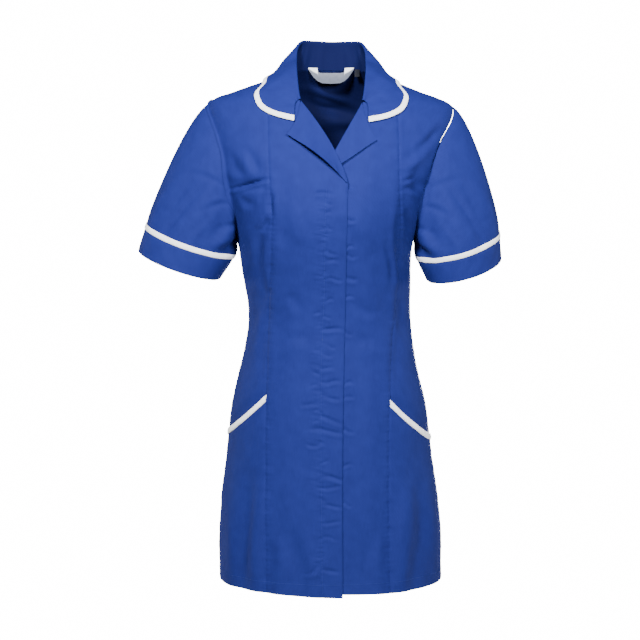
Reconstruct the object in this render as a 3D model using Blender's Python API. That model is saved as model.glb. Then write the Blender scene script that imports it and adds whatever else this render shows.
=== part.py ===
# Medical tunic: a short-sleeved, fitted work tunic in royal blue twill with white binding,
# filled out as worn. Blender 4.5, metres, +Z up. The front faces -Y and the wearer's left is +X.
# The origin lies between the two shoulder seams, where they meet the neck.
# Sizes in the tables are millimetres; MM turns them into metres when a mesh is made.

import bpy
import numpy as np

MM = 0.001

# Driving dimensions
WALL = 1.5                 # cloth with its turnings
BAND_WALL = 1.8            # binding folded over an edge
SEAM_GAP = 0.3             # between two pieces that are sewn together
HALF_GAP = SEAM_GAP / 2
END_TRIM = 0.8             # the collar and the revers end this far short of their layout
FOOT_TRIM = 0.6            # the stand's foot stays this far above the neck seam
CAP_TRIM = 0.5             # the sleeve's cap stays this far outside the armhole
LEAN = 0.017               # the wearer's right shoulder stands higher, by this slope
LEAN_FADES = (520, 760)    # it fades out between these depths below the neck
HEM_HEIGHT = -778.0        # nape to hem
UNDERARM_HEIGHT = -240.0
SHOULDER_HEIGHT = -47.0    # outer end of the shoulder seam
BREAK_HEIGHT = -160.0      # where the front edge starts to roll back into the revers
BINDING_WIDTH = 8.0
BINDING_DROP = 10.2        # the same binding measured straight down across the slanted pocket mouth
CUFF_DEPTH = 35.0
FOLD_RADIUS = 1.8          # middle of the cloth where the collar turns over
STAND_END = 3.0            # height of the stand at the collar's front ends
COLLAR_CLEAR = 2.5         # middle of the collar's edge above the body
COLLAR_BELLY = 0.05        # how much the fall rounds out, as a share of its width
COLLAR_FRONT = 0.86        # the way along the collar where its stand begins to run out
COLLAR_SWING = 0.25        # how far the fall starts outwards for each part that it goes down
FALL_STRAIGHT = 0.97       # straight distance across the fall for each part of its curve
CURVE_PULL = 0.33          # of a rounded stretch, as a share of its length
REVERS_FOLD = 1.3          # middle of the cloth where the revers turns back
REVERS_REST = 1.75         # middle of the revers above the front
REVERS_INSET = 1.04        # how far inside the roll line the fold starts, in fold radii
FRONT_STEP = 4.0           # the straight edge of a front ends this far below the break
LABEL_WALL = 0.8
LABEL_WAY = 0.187          # where along the collar the neck label's ends are caught
LABEL_FOOT = 0.08          # where up the stand a label is caught
TAB_WAYS = (0.195, 0.25)   # where along the collar the size tab is caught
TAB_LENGTH = 11.0
ROLL_TOP = (46.0, -44.0)   # where the roll line meets the neck seam, out from the middle and up
ROLL_INSET = 2.4           # the front ends this far inside the roll line, within the revers' fold
NOTCH_HEIGHT = -60.0       # the level on the panel seam that the top of the roll line faces
LAP_DEPTH = 2.3            # how far the lower front lies behind the upper one
LAP_DEEPER = 3.4           # how much further back it lies beside the break
LAP_DEEPENS = (-185, -150) # the heights between which it goes further back
LAP_FADES = (25, 62)       # it comes forward again between these distances from the middle
POCKET_TUCK = 2.2          # how far the side front lies behind the pocket front
POCKET_UNDERLAP = 14.0     # how far it runs on behind the pocket mouth
POCKET_EASES = (4, 26)     # above the mouth it comes forward again between these heights

BLUE = (0.045, 0.107, 0.402, 1.0)
WHITE = (0.80, 0.83, 0.87, 1.0)
NAVY = (0.012, 0.016, 0.05, 1.0)


def table(columns, *rows):
    """Gives one array for each named column of a short table."""
    return {name: np.array(values, float) for name, values in zip(columns.split(), zip(*rows))}


# Level sections of the body of the tunic, from the hem up to the neck
BODY = table(
    "height  half_width  front  back  shift  power",
    (-778,   171,        140,   126,  -1,    2.0),
    (-720,   172,        136,   123,  -1.5,  2.0),
    (-660,   168,        131,   120,  -2,    2.05),
    (-580,   157.5,      124,   116,  -3,    2.05),
    (-500,   147.5,      117,   110,  -3,    2.1),
    (-430,   131,        110,   98,   -3,    2.1),
    (-365,   123,        107,   83,   -3,    2.1),
    (-320,   127,        113,   82,   -6,    2.15),
    (-275,   131.5,      122,   87,   -9,    2.2),
    (-240,   138,        129,   93,   -9,    2.2),
    (-210,   147,        132,   99,   -8,    2.2),
    (-178,   160,        128,   102,  -7,    2.2),
    (-140,   174,        117,   102,  -4,    2.2),
    (-100,   184,        99,    99,   -2,    2.2),
    (-75,    188,        85,    94,   0,     2.2),
    (-58,    187,        74,    90,   0,     2.2),
    (-47,    181,        65,    87,   0,     2.2),
    (-38,    161,        59,    83,   0,     2.2),
    (-29,    136,        51,    79,   0,     2.2),
    (-20,    112,        43,    75,   0,     2.2),
    (-12,    92,         35,    71,   0,     2.2),
    (-5,     77,         25,    67,   0,     2.2),
    (0,      68,         18,    64,   0,     2.2),
)

# The armhole from the underarm up to the shoulder: how far it bites in from the side, in degrees
ARMHOLE = table(
    "step  height  front  back",
    (0.0,  -240,   0,     0),
    (0.07, -237.5, 8,     8),
    (0.16, -229,   15,    14),
    (0.28, -211,   20.5,  17.5),
    (0.46, -178,   21.5,  18),
    (0.68, -130,   19.8,  16),
    (0.86, -84,    11.6,  10),
    (0.95, -60,    4.6,   4.2),
    (1.0,  -47,    0,     0),
)

# The panel seam of each front, as distance from the middle on the wearer's right and left
PANEL_SEAM = table(
    "height  right  left",
    (-778,   99,    89),
    (-486,   98,    88),
    (-400,   96,    93),
    (-320,   93,    100),
    (-240,   89,    105),
    (-160,   92,    101),
    (-80,    95,    100),
    (0,      95,    96),
)

# How far each front passes the middle: the right one lies over the left one and hangs lower there
LAP_HEM = {"right": -781.0, "left": -775.0}
LAP = table(
    "height  right  left",
    (-778,   17,    20),
    (-573,   16.5,  20),
    (-320,   21,    20),
    (-160,   24,    20),
)

# The pocket mouth: how far down it is at each part of the way from the panel seam to the side
POCKET_MOUTH = table(
    "way    right  left",
    (0,     -483,  -487),
    (0.35,  -514,  -519),
    (0.7,   -538,  -543),
    (1,     -549,  -552),
)

# The collar from the middle of the back to its front end: the neck seam by its angle round the
# body and its height, the top of the roll, and the outer edge by its angle and height
COLLAR = table(
    "step  seam_angle  seam_z  roll_x  roll_y  roll_z  edge_angle  edge_z",
    (0,     180,        0,      0,      61,     44,     180,        -20),
    (0.17,  149.3,      0,      27,     58,     45,     153,        -20),
    (0.34,  123.8,      0,      47,     46,     43,     125,        -17),
    (0.45,  103,        0,      52,     29,     30,     101,        -13.5),
    (0.53,  90,         0,      52.5,   14,     17,     90,         -14),
    (0.62,  74.6,       -6,     52.5,   -13,    9,      77,         -22),
    (0.74,  55.4,       -22,    51,     -37,    -9,     68,         -40),
    (0.84,  45.5,       -33,    49.5,   -50,    -23.5,  58,         -59),
    (0.92,  39.5,       -41,    48,     -58.5,  -34,    47,         -69),
    (1,     35.8,       -46.5,  46.5,   -64,    -42,    33,         -75),
)

# The revers in the front view, out from the middle and up: where its outer edge starts at the
# break, the bend in that edge, its tip and its notch, how far the edge lifts, how far the roll
# line bows towards the middle, and how far up that line the piece begins
REVERS = {
    "right": {"start": (-21.5, -161.5), "bend": (4, -132), "tip": (66, -94.5), "notch": (53, -73),
              "lift": 8.0, "bow": 8.5, "from": 0.0},
    "left": {"start": (-17, -153), "bend": (26, -126), "tip": (67, -100), "notch": (54, -75),
             "lift": 2.0, "bow": 1.5, "from": 0.12},
}

# The neck label: distance from the middle, top and bottom
LABEL = table(
    "x    top   low",
    (0,   -3,   -19.5),
    (14,  -3,   -18.5),
    (20,  -2,   -15.5),
    (21,  4.5,  -15),
    (27,  5,    -9.5),
    (35,  5,    2.5),
)

# Sleeve ends: ring at the top of the binding and ring at the hem, each by its middle, the half
# length from body side to outer side, the half depth, and how far its front hangs below its back
SLEEVES = {
    "right": {"side": -1, "binding": (-212.5, -6, -252), "hem": (-231, -9, -292), "fall": 0.34,
              "binding_half": (72, 59), "hem_half": (66.0, 57), "dip": 7.0, "reach": 95},
    "left": {"side": 1, "binding": (191.5, -10, -259), "hem": (202, -6, -299), "fall": 0.27,
             "binding_half": (66.5, 60), "hem_half": (59.5, 58), "dip": 12.0, "reach": 80},
}

# How the sleeve leaves the armhole, at the underarm (0) and at the top of the shoulder (1): its
# way out and down, and how stiffly it keeps that way at the armhole and at the binding
CAP = {"out": (0.30, 0.84), "down": (-0.95, -0.54), "forward": 0.25, "off": 0.25,
       "start_pull": 24.0, "end_pull": (30.0, 140.0)}

# The largest folds: from one end to the other across the front or back view, with the width of
# the fold and its height, which is negative for a trough
FOLDS = table(
    "face  x0    z0     x1    z1     width  height",
    (1,    -98,  -158,  -160, -172,  9,     -3.2),    # bust dart on the wearer's right
    (1,    -104, -150,  -140, -100,  16,    2.6),
    (1,    -96,  -150,  -124, -118,  11,    -1.6),
    (1,    104,  -166,  150,  -178,  10,    -2.2),    # bust dart on the wearer's left
    (1,    108,  -158,  138,  -112,  15,    1.8),
    (1,    -112, -330,  -138, -430,  16,    2.6),     # drapes from the bust to the hip
    (1,    -84,  -270,  -126, -400,  15,    -2.0),
    (1,    86,   -250,  122,  -420,  16,    2.6),
    (1,    70,   -290,  100,  -430,  14,    -2.0),
    (1,    -40,  -330,  -60,  -470,  20,    1.6),
    (1,    -126, -600,  -132, -800,  24,    3.0),     # hem
    (1,    124,  -560,  132,  -800,  24,    3.0),
    (1,    56,   -620,  52,   -800,  26,    -2.4),
    (1,    -58,  -640,  -56,  -800,  26,    -1.6),
    (-1,   -60,  -60,   60,   -58,   9,     3.0),     # across the shoulders
    (-1,   -70,  -84,   66,   -80,   9,     -2.6),
    (-1,   -92,  -250,  -60,  -420,  18,    3.0),     # into the small of the back
    (-1,   92,   -250,  62,   -430,  18,    3.0),
    (-1,   -100, -340,  100,  -346,  14,    -2.6),
    (-1,   -88,  -372,  84,   -366,  11,    2.4),
    (-1,   -104, -560,  -112, -800,  26,    3.4),
    (-1,   100,  -540,  110,  -800,  26,    3.4),
    (-1,   0,    -560,  0,    -800,  34,    -3.0),
)

# Folds down the sleeves: where round the sleeve (0 underarm, 0.25 front, 0.5 outer, 0.75 back),
# where along it they are deepest, their width round it and their height
SLEEVE_FOLDS = table(
    "around  along  width  length  height",
    (0.36,   0.75,  0.045, 0.50,   -3.6),
    (0.27,   0.70,  0.040, 0.55,   2.4),
    (0.17,   0.75,  0.035, 0.45,   -2.6),
    (0.45,   0.60,  0.040, 0.50,   1.8),
    (0.64,   0.70,  0.045, 0.50,   -3.2),
    (0.74,   0.75,  0.040, 0.50,   2.6),
    (0.84,   0.75,  0.040, 0.45,   -2.4),
)


def hand(side):
    """The column or part for the wearer's right (-1) or left (1)."""
    return "right" if side < 0 else "left"


def curve(at, knots, values):
    """Reads a smooth curve through the knots of a table."""
    slopes = np.gradient(values, knots)
    index = np.clip(np.searchsorted(knots, at) - 1, 0, len(knots) - 2)
    span = knots[index + 1] - knots[index]
    t = (at - knots[index]) / span
    return ((2 * t**3 - 3 * t**2 + 1) * values[index] + (t**3 - 2 * t**2 + t) * span * slopes[index]
            + (3 * t**2 - 2 * t**3) * values[index + 1] + (t**3 - t**2) * span * slopes[index + 1])


def ease(value, start, end):
    """Rises smoothly from 0 at start to 1 at end."""
    t = np.clip((value - start) / (end - start), 0, 1)
    return t * t * (3 - 2 * t)


def mix(a, b, t):
    return a + (b - a) * t


def points(*parts):
    return np.stack(np.broadcast_arrays(*parts), axis=-1)


def unit(vectors):
    return vectors / np.maximum(np.linalg.norm(vectors, axis=-1, keepdims=True), 1e-9)


# The body of the tunic

def body(column, height):
    return curve(height, BODY["height"], BODY[column])


def lean(height):
    """The wearer's right shoulder stands a little higher than the left one."""
    return LEAN - LEAN * ease(-height, *LEAN_FADES)


def body_plain(angle, height):
    """A point of the body without its folds: angle 0 is the front, 90 the wearer's left side."""
    power = body("power", height)
    sine, cosine = np.sin(np.radians(angle)), np.cos(np.radians(angle))
    depth = np.where(cosine > 0, body("front", height), body("back", height))
    total = (np.abs(sine) / body("half_width", height))**power + (np.abs(cosine) / depth)**power
    radius = total**(-1 / power)
    x = body("shift", height) + radius * sine
    return points(x, -radius * cosine, height - lean(height) * x)


def body_normal(angle, height, surface=body_plain):
    step = 0.05
    across = surface(angle + step, height) - surface(angle - step, height)
    up = surface(angle, height + step) - surface(angle, height - step)
    return unit(np.cross(across, up))


def relief(place, face):
    """Height of the folds above the plain form, at a place in the front or back view."""
    x, z = place[..., 0], place[..., 2]
    total = np.zeros(x.shape)
    for side, x0, z0, x1, z1, width, height in zip(*FOLDS.values()):
        length = np.hypot(x1 - x0, z1 - z0)
        along = ((x - x0) * (x1 - x0) + (z - z0) * (z1 - z0)) / length**2
        aside = ((x - x0) * (z1 - z0) - (z - z0) * (x1 - x0)) / length
        ends = np.sin(np.pi * np.clip(along, 0, 1))**2
        total += np.where(face * side > 0, height * ends * np.exp(-(aside / width)**2), 0)
    return total


def body_point(angle, height):
    """A point of the outer face of the body, with its folds."""
    place = body_plain(angle, height)
    face = np.sign(np.cos(np.radians(angle)) + 1e-9)
    fade = np.abs(np.cos(np.radians(angle)))**0.5
    return place + body_normal(angle, height) * (relief(place, face) * fade)[..., None]


def angle_at(x, height):
    """The angle of the front point of the body that is at a distance x from the middle."""
    power = body("power", height)
    aside = x - body("shift", height)
    share = np.clip(np.abs(aside) / body("half_width", height), 0, 1)
    return np.degrees(np.arctan2(aside, body("front", height) * (1 - share**power)**(1 / power)))


def armhole(step, face):
    """Angle and height of the armhole, from the underarm to the shoulder, on the left side."""
    bite = curve(step, ARMHOLE["step"], ARMHOLE[face])
    angle = 90 - bite if face == "front" else 90 + bite
    return angle, curve(step, ARMHOLE["step"], ARMHOLE["height"])


def panel_seam(height, side):
    return side * curve(height, PANEL_SEAM["height"], PANEL_SEAM[hand(side)])


def seam_top(side):
    """The height where the panel seam meets the shoulder seam."""
    heights = np.linspace(-30, 0, 601)
    gaps = np.abs(panel_seam(heights, side) - body("shift", heights)) - body("half_width", heights)
    return heights[np.argmin(np.abs(gaps))]


# Making a wall of cloth

def cloth(name, shape, us, vs, material, wall=WALL, around=False, trims=(0, 0, 0, 0), out=1.0,
          lift=0.0):
    """Makes a closed wall of cloth from shape(u, v), the outer face of the piece.
    The inner face lies a wall's thickness inside it, measured square to it, so that two pieces
    that meet at a seam keep an even gap. Both faces are divided along the same diagonals.
    trims shorten the piece at u0, u1, v0 and v1, and lift moves it outwards."""
    u, v = np.meshgrid(us, vs, indexing="ij")
    outer = shape(u, v)
    low, high, step = 0.002, 0.998, 1e-4
    um = u if around else np.clip(u, low, high)
    vm = np.clip(v, low, high)
    across = shape(um + step, vm) - shape(um - step, vm)
    along = shape(um, vm + step) - shape(um, vm - step)
    normal = unit(np.cross(across, along)) * out
    rows = (np.s_[0, :], np.s_[1, :]), (np.s_[-1, :], np.s_[-2, :]), \
           (np.s_[:, 0], np.s_[:, 1]), (np.s_[:, -1], np.s_[:, -2])
    for trim, (edge, neighbour) in zip(trims, rows):
        ahead = unit(np.gradient(outer[edge], axis=0))
        inward = outer[neighbour] - outer[edge]
        outer[edge] += trim * unit(inward - ahead * np.sum(inward * ahead, axis=-1, keepdims=True))
    outer += normal * lift
    inner = outer - normal * wall
    nu, nv = u.shape
    count = nu * nv
    cell = [(i, j) for i in range(nu if around else nu - 1) for j in range(nv - 1)]
    index = lambda i, j: (i % nu) * nv + j
    faces = []
    flat = outer.reshape(-1, 3)
    for i, j in cell:
        a, b, c, d = index(i, j), index(i + 1, j), index(i + 1, j + 1), index(i, j + 1)
        shorter = np.linalg.norm(flat[a] - flat[c]) <= np.linalg.norm(flat[b] - flat[d])
        for triangle in ((a, b, c), (a, c, d)) if shorter else ((a, b, d), (b, c, d)):
            faces.append(triangle)
            faces.append(tuple(count + k for k in reversed(triangle)))
    rim = [(index(i, 0), index(i + 1, 0)) for i in range(nu if around else nu - 1)]
    rim += [(index(i + 1, nv - 1), index(i, nv - 1)) for i in range(nu if around else nu - 1)]
    if not around:
        rim += [(index(nu - 1, j), index(nu - 1, j + 1)) for j in range(nv - 1)]
        rim += [(index(0, j + 1), index(0, j)) for j in range(nv - 1)]
    faces += [(b, a, count + a, count + b) for a, b in rim]
    if out < 0:
        faces = [tuple(reversed(face)) for face in faces]
    mesh = bpy.data.meshes.new(name)
    mesh.from_pydata((np.concatenate([outer, inner]).reshape(-1, 3) * MM).tolist(), [], faces)
    mesh.update()
    mesh.shade_smooth()
    mesh.set_sharp_from_angle(angle=0.7)
    mesh.materials.append(material)
    piece = bpy.data.objects.new(name, mesh)
    parts.objects.link(piece)
    return piece


def fabric(name, colour, roughness):
    material = bpy.data.materials.new(name)
    material.use_nodes = True
    shader = material.node_tree.nodes["Principled BSDF"]
    shader.inputs["Base Color"].default_value = colour
    shader.inputs["Roughness"].default_value = roughness
    shader.inputs["Metallic"].default_value = 0.0
    return material


# Rows of the body panels

def spread(*stops):
    """Joins stretches of evenly spaced steps: value, count, value, count, ... value."""
    rows = [np.array([stops[0]], float)]
    for start, count, end in zip(stops[:-2:2], stops[1::2], stops[2::2]):
        rows.append(np.linspace(start, end, count + 1)[1:])
    return np.concatenate(rows)


ARM_STEPS = spread(0, 13, 1)
SIDE_ROWS = 10             # below the underarm, in a side front and in a front
SIDE_COLUMNS = 7


def row_reader(*columns):
    """Gives a function that reads the columns at any share of the way through the rows."""
    share = np.linspace(0, 1, len(columns[0]))
    return lambda v: [np.interp(v, share, column) for column in columns]


def mouth(way, side):
    return curve(way, POCKET_MOUTH["way"], POCKET_MOUTH[hand(side)])


def seam_rows(side):
    """Heights along the panel seam, from the underarm's level up, one for each armhole step."""
    share = (armhole(ARM_STEPS, "front")[1] - UNDERARM_HEIGHT) / (SHOULDER_HEIGHT - UNDERARM_HEIGHT)
    return mix(UNDERARM_HEIGHT, seam_top(side), share)


def side_front(side, name, material):
    """The upper side front: shoulder and armhole down to just behind the pocket mouth."""
    outer_angle, outer_height = armhole(ARM_STEPS, "front")
    below = lambda level: np.concatenate([[level - POCKET_UNDERLAP],
                                          spread(level, SIDE_ROWS, UNDERARM_HEIGHT)[:-1]])
    outer_height = np.concatenate([below(mouth(1, side)), outer_height])
    outer_angle = np.concatenate([np.full(SIDE_ROWS + 1, 90.0), outer_angle])
    inner_height = np.concatenate([below(mouth(0, side)), seam_rows(side)])
    inner_angle = side * angle_at(panel_seam(inner_height, side), inner_height)
    inner_angle[-1] = 90
    read = row_reader(inner_angle, inner_height, outer_angle, outer_height)

    def shape(u, v):
        angle0, height0, angle1, height1 = read(v)
        angle, height = mix(angle0, angle1, u), mix(height0, height1, u)
        place = body_point(side * angle, height)
        start, end = POCKET_EASES
        under = 1 - ease(height, mouth(u, side) + start, mouth(u, side) + end)
        return place - body_normal(side * angle, height) * (POCKET_TUCK * under)[..., None]

    rows = np.linspace(0, 1, len(outer_height))
    return cloth(name, shape, spread(0, SIDE_COLUMNS, 1), rows, material, out=side,
                 trims=(HALF_GAP, HALF_GAP, 0, HALF_GAP))


def pocket_front(side, name, material):
    """The pocket front: the side front below the pocket mouth, down to the hem."""
    def shape(u, v):
        height = mix(HEM_HEIGHT, mouth(u, side), v)
        angle = mix(side * angle_at(panel_seam(height, side), height), 90, u)
        return body_point(side * angle, height)

    below_binding = 1 - BINDING_DROP / (mouth(0.5, side) - HEM_HEIGHT)
    return cloth(name, shape, spread(0, SIDE_COLUMNS, 1), spread(0, 9, below_binding, 1, 1), material,
                 out=side, trims=(SEAM_GAP, HALF_GAP, 0, 0))


def pocket_binding(side, name, material):
    """The binding along the pocket mouth, lying on the pocket front."""
    def shape(u, v):
        way = mix(0.004, 0.996, u)
        height = mouth(way, side) + SEAM_GAP - mix(BINDING_DROP, 0, v)
        angle = mix(side * angle_at(panel_seam(height, side), height), 90, way)
        place = body_point(side * angle, height)
        return place + body_normal(side * angle, height) * (BAND_WALL + SEAM_GAP)

    return cloth(name, shape, spread(0, SIDE_COLUMNS, 1), (0.0, 1.0), material, wall=BAND_WALL,
                 out=side)


def lap(height, side):
    """How far out from the middle the front edge lies: negative, because it passes it."""
    return -curve(height, LAP["height"], LAP[hand(side)])


def roll_line(side, u):
    """The roll line in the front view, out from the middle and up, from the break to the neck."""
    x = mix(lap(BREAK_HEIGHT, side), ROLL_TOP[0], u) - REVERS[hand(side)]["bow"] * 4 * u * (1 - u)
    return x, mix(BREAK_HEIGHT, ROLL_TOP[1], u)


def front(side, name, material):
    """A front: from the panel seam to the front edge, up to the roll line and the neck seam."""
    inner_height = np.concatenate([spread(HEM_HEIGHT, SIDE_ROWS, mouth(0, side))[:-1],
                                   spread(mouth(0, side), SIDE_ROWS, UNDERARM_HEIGHT)[:-1],
                                   seam_rows(side)])
    inner_angle = side * angle_at(panel_seam(inner_height, side), inner_height)
    inner_angle[-1] = 90
    turn = int(np.argmin(np.abs(inner_height - BREAK_HEIGHT)))
    notch = int(np.argmin(np.abs(inner_height - NOTCH_HEIGHT)))
    roll = spread(0, notch - turn, 1)
    step = spread(1.0, len(inner_height) - 1 - notch, 0.53)[1:]
    straight = spread(LAP_HEM[hand(side)], turn - 1, BREAK_HEIGHT - FRONT_STEP)
    roll_x, roll_height = roll_line(side, roll)
    edge_x = np.concatenate([lap(straight, side), roll_x + ROLL_INSET, np.zeros(len(step))])
    edge_height = np.concatenate([straight, roll_height,
                                  curve(step, COLLAR["step"], COLLAR["seam_z"])])
    edge_angle = side * angle_at(side * edge_x, edge_height)
    edge_angle[notch + 1:] = curve(step, COLLAR["step"], COLLAR["seam_angle"])
    read = row_reader(edge_angle, edge_height, inner_angle, inner_height)

    def shape(u, v):
        angle0, height0, angle1, height1 = read(v)
        angle, height = mix(angle0, angle1, u), mix(height0, height1, u)
        return front_face(side, side * angle, height)[0]

    rows = np.linspace(0, 1, len(edge_height))
    return cloth(name, shape, spread(0, 4, 0.35, 4, 1), rows, material, out=side,
                 trims=(0, HALF_GAP, 0, SEAM_GAP))


def tuck(place):
    """How far the lower front lies behind the upper one, round the middle."""
    x, z = place[..., 0], place[..., 2]
    depth = LAP_DEPTH + LAP_DEEPER * ease(z, *LAP_DEEPENS)
    return depth * (1 - ease(x, *LAP_FADES))


def front_face(side, angle, height):
    """A point of a front's outer face and the way out of it."""
    place, normal = body_point(angle, height), body_normal(angle, height)
    if side > 0:
        place = place - normal * tuck(place)[..., None]
    return place, normal


def back(name, material):
    """The back, in one piece from side seam to side seam."""
    below = spread(HEM_HEIGHT, 24, UNDERARM_HEIGHT)[:-1]
    bite_angle, bite_height = armhole(ARM_STEPS, "back")
    above = spread(SHOULDER_HEIGHT, 6, 0)[1:]
    height = np.concatenate([below, bite_height, above])
    angle = np.concatenate([np.full(len(below), 90.0), bite_angle, np.full(len(above), 90.0)])
    read = row_reader(angle, height)

    def shape(u, v):
        start, level = read(v)
        return body_point(mix(start, 360 - start, u), level)

    rows = np.linspace(0, 1, len(height))
    return cloth(name, shape, spread(0, 20, 1), rows, material,
                 trims=(HALF_GAP, HALF_GAP, 0, HALF_GAP))


# Sleeves

def armhole_loop(around, side):
    """The armhole as a loop: 0 underarm, 0.25 front, 0.5 shoulder, 0.75 back."""
    turn = around % 1.0
    front_step, back_step = np.clip(turn * 2, 0, 1), np.clip(2 - turn * 2, 0, 1)
    front_angle, front_height = armhole(front_step, "front")
    back_angle, back_height = armhole(back_step, "back")
    angle = np.where(turn <= 0.5, front_angle, back_angle)
    height = np.where(turn <= 0.5, front_height, back_height)
    place = body_point(side * angle, height)
    return place, body_normal(side * angle, height)


def sleeve_ring(around, sleeve, ring):
    """A ring at the sleeve's end, square to the sleeve and lower at the front by its dip."""
    middle = np.array(sleeve[ring], float)
    half_length, half_depth = sleeve[ring + "_half"]
    fall = sleeve["fall"]
    outward = unit(np.array([sleeve["side"], 0.0, fall]))
    turn = 2 * np.pi * around
    across, forward = -np.cos(turn) * half_length, np.sin(turn) * half_depth
    ring_points = middle + across[..., None] * outward
    return ring_points + points(0, -forward, -forward / half_depth * sleeve["dip"])


def sleeve_point(around, along, sleeve):
    """A point of the sleeve: along 0 at the armhole, 1 at the binding, 2 at the hem."""
    side = sleeve["side"]
    start, normal = armhole_loop(around, side)
    start = start + normal * HALF_GAP
    binding = sleeve_ring(around, sleeve, "binding")
    hem = sleeve_ring(around, sleeve, "hem")
    turn = 2 * np.pi * (around % 1.0)
    top = (1 - np.cos(turn)) / 2
    leave = points(side * mix(*CAP["out"], top), -CAP["forward"] * np.sin(turn),
                   mix(*CAP["down"], top))
    leave = unit(leave + CAP["off"] * normal)
    start_pull = mix(CAP["start_pull"], sleeve["reach"], top)[..., None]
    end_pull = mix(*CAP["end_pull"], top)[..., None]
    m0, m1 = leave * start_pull, unit(hem - binding) * end_pull
    t = np.clip(along, None, 1.0)[..., None]
    place = ((2 * t**3 - 3 * t**2 + 1) * start + (t**3 - 2 * t**2 + t) * m0
             + (3 * t**2 - 2 * t**3) * binding + (t**3 - t**2) * m1)
    return place + np.clip(along - 1, 0, None)[..., None] * (hem - binding)


def sleeve_relief(around, along):
    total = np.zeros(np.shape(around))
    for middle, deepest, width, length, height in zip(*SLEEVE_FOLDS.values()):
        aside = (around % 1.0 - middle) / width
        total += height * np.exp(-aside**2) * np.exp(-((along - deepest) / length)**2)
    return total * ease(along, 0.05, 0.5)


def sleeve_surface(sleeve, proud=0.0):
    """The outer face of the sleeve with its folds, as a function of around and along."""
    def shape(around, along):
        step = 1e-3
        place = sleeve_point(around, along, sleeve)
        across = sleeve_point(around + step, along, sleeve) - sleeve_point(around - step, along, sleeve)
        down = sleeve_point(around, along + step, sleeve) - sleeve_point(around, along - step, sleeve)
        normal = unit(np.cross(across, down)) * sleeve["side"]
        return place - normal * (sleeve_relief(around, along) + proud)[..., None]
    return shape


def sleeve_band(name, sleeve, start, end, rows, material, proud, wall, trims):
    """A stretch of the sleeve tube between two places along it."""
    surface = sleeve_surface(sleeve, proud)
    turns = np.concatenate([ARM_STEPS / 2, 1 - ARM_STEPS[::-1][1:-1] / 2])
    shape = lambda u, v: surface(u, mix(start, end, v))
    return cloth(name, shape, turns, rows, material, wall=wall, around=True, trims=trims,
                 out=-sleeve["side"])


# Collar

def mirrored(column):
    """A collar column from the right front end (-1) round the back (0) to the left one (1)."""
    values = COLLAR[column]
    other = -values if column == "roll_x" else 360 - values if "angle" in column else values
    return np.concatenate([other[:0:-1], values])


def collar_lines(way):
    """Neck seam, top of the roll and outer edge of the collar, at a way from -1 to 1."""
    knots = np.concatenate([-COLLAR["step"][:0:-1], COLLAR["step"]])
    read = lambda column: curve(way, knots, mirrored(column))
    seam_angle, seam_height = read("seam_angle"), read("seam_z")
    seam = body_plain(seam_angle, seam_height) - body_normal(seam_angle, seam_height) * WALL / 2
    x, z = read("roll_x"), read("roll_z")
    roll = points(x, read("roll_y"), z - lean(z) * x)
    angle, height = read("edge_angle"), read("edge_z")
    normal = body_normal(angle, height)
    return seam, roll, body_plain(angle, height) + normal * COLLAR_CLEAR, normal


def clear_of_body(place, clear, share):
    """Moves points out by a share of what they lack to lie clear above the plain body."""
    height = np.minimum(place[..., 2] + lean(place[..., 2]) * place[..., 0], -0.1)
    angle = np.degrees(np.arctan2(place[..., 0] - body("shift", height), -place[..., 1]))
    normal = body_normal(angle, height)
    above = np.sum((place - body_plain(angle, height)) * normal, axis=-1, keepdims=True)
    return place + normal * np.maximum(clear - above, 0) * share


def bezier(a, b, c, d, t):
    return (1 - t)**3 * a + 3 * (1 - t)**2 * t * b + 3 * (1 - t) * t**2 * c + t**3 * d


def collar_middle(way, across):
    """The middle of the collar cloth: across 0 neck seam, 1 top of stand, 2 start of the fall,
    3 outer edge of the binding."""
    seam, roll, edge, normal = collar_lines(way)
    step = 1e-3
    ahead = unit(collar_lines(way + step)[1] - collar_lines(way - step)[1])
    down = unit(unit(seam - roll) + unit(edge - roll))
    down = unit(down - ahead * np.sum(down * ahead, axis=-1, keepdims=True))
    out = np.cross(ahead, down)
    centre = roll + down * FOLD_RADIUS
    inside, outside = centre - out * FOLD_RADIUS, centre + out * FOLD_RADIUS
    at_front = ease(np.abs(way), COLLAR_FRONT, 1)[..., None]
    seam = mix(seam, inside + down * STAND_END, at_front)
    rise = np.linalg.norm(inside - seam, axis=-1, keepdims=True)
    width = np.linalg.norm(edge - outside, axis=-1, keepdims=True)
    t = across[..., None]
    stand = bezier(seam, mix(seam, inside, CURVE_PULL), inside + down * rise * CURVE_PULL, inside,
                   np.clip(t, None, 1))
    turn = np.pi * np.clip(t - 1, 0, 1)
    fold = centre - FOLD_RADIUS * (np.cos(turn) * out + np.sin(turn) * down)
    inward = outside - edge
    flat = unit(inward - normal * np.sum(inward * normal, axis=-1, keepdims=True))
    last = edge + flat * width * CURVE_PULL + normal * width * COLLAR_BELLY
    t_fall = np.clip(t - 2, 0, None)
    first = outside + (down + out * COLLAR_SWING) * width * CURVE_PULL
    fall = bezier(outside, first, last, edge, t_fall)
    fall = clear_of_body(fall, COLLAR_CLEAR, ease(t_fall, 0, 0.25))
    return np.where(t < 1, stand, np.where(t < 2, fold, fall))


def binding_start(way):
    """Where across the collar its binding begins."""
    seam, roll, edge, normal = collar_lines(way)
    width = np.linalg.norm(edge - roll, axis=-1)
    return 3 - BINDING_WIDTH / (width * FALL_STRAIGHT)


COLLAR_WAYS = spread(-1, 11, -0.6, 14, 0.6, 11, 1)


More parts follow.
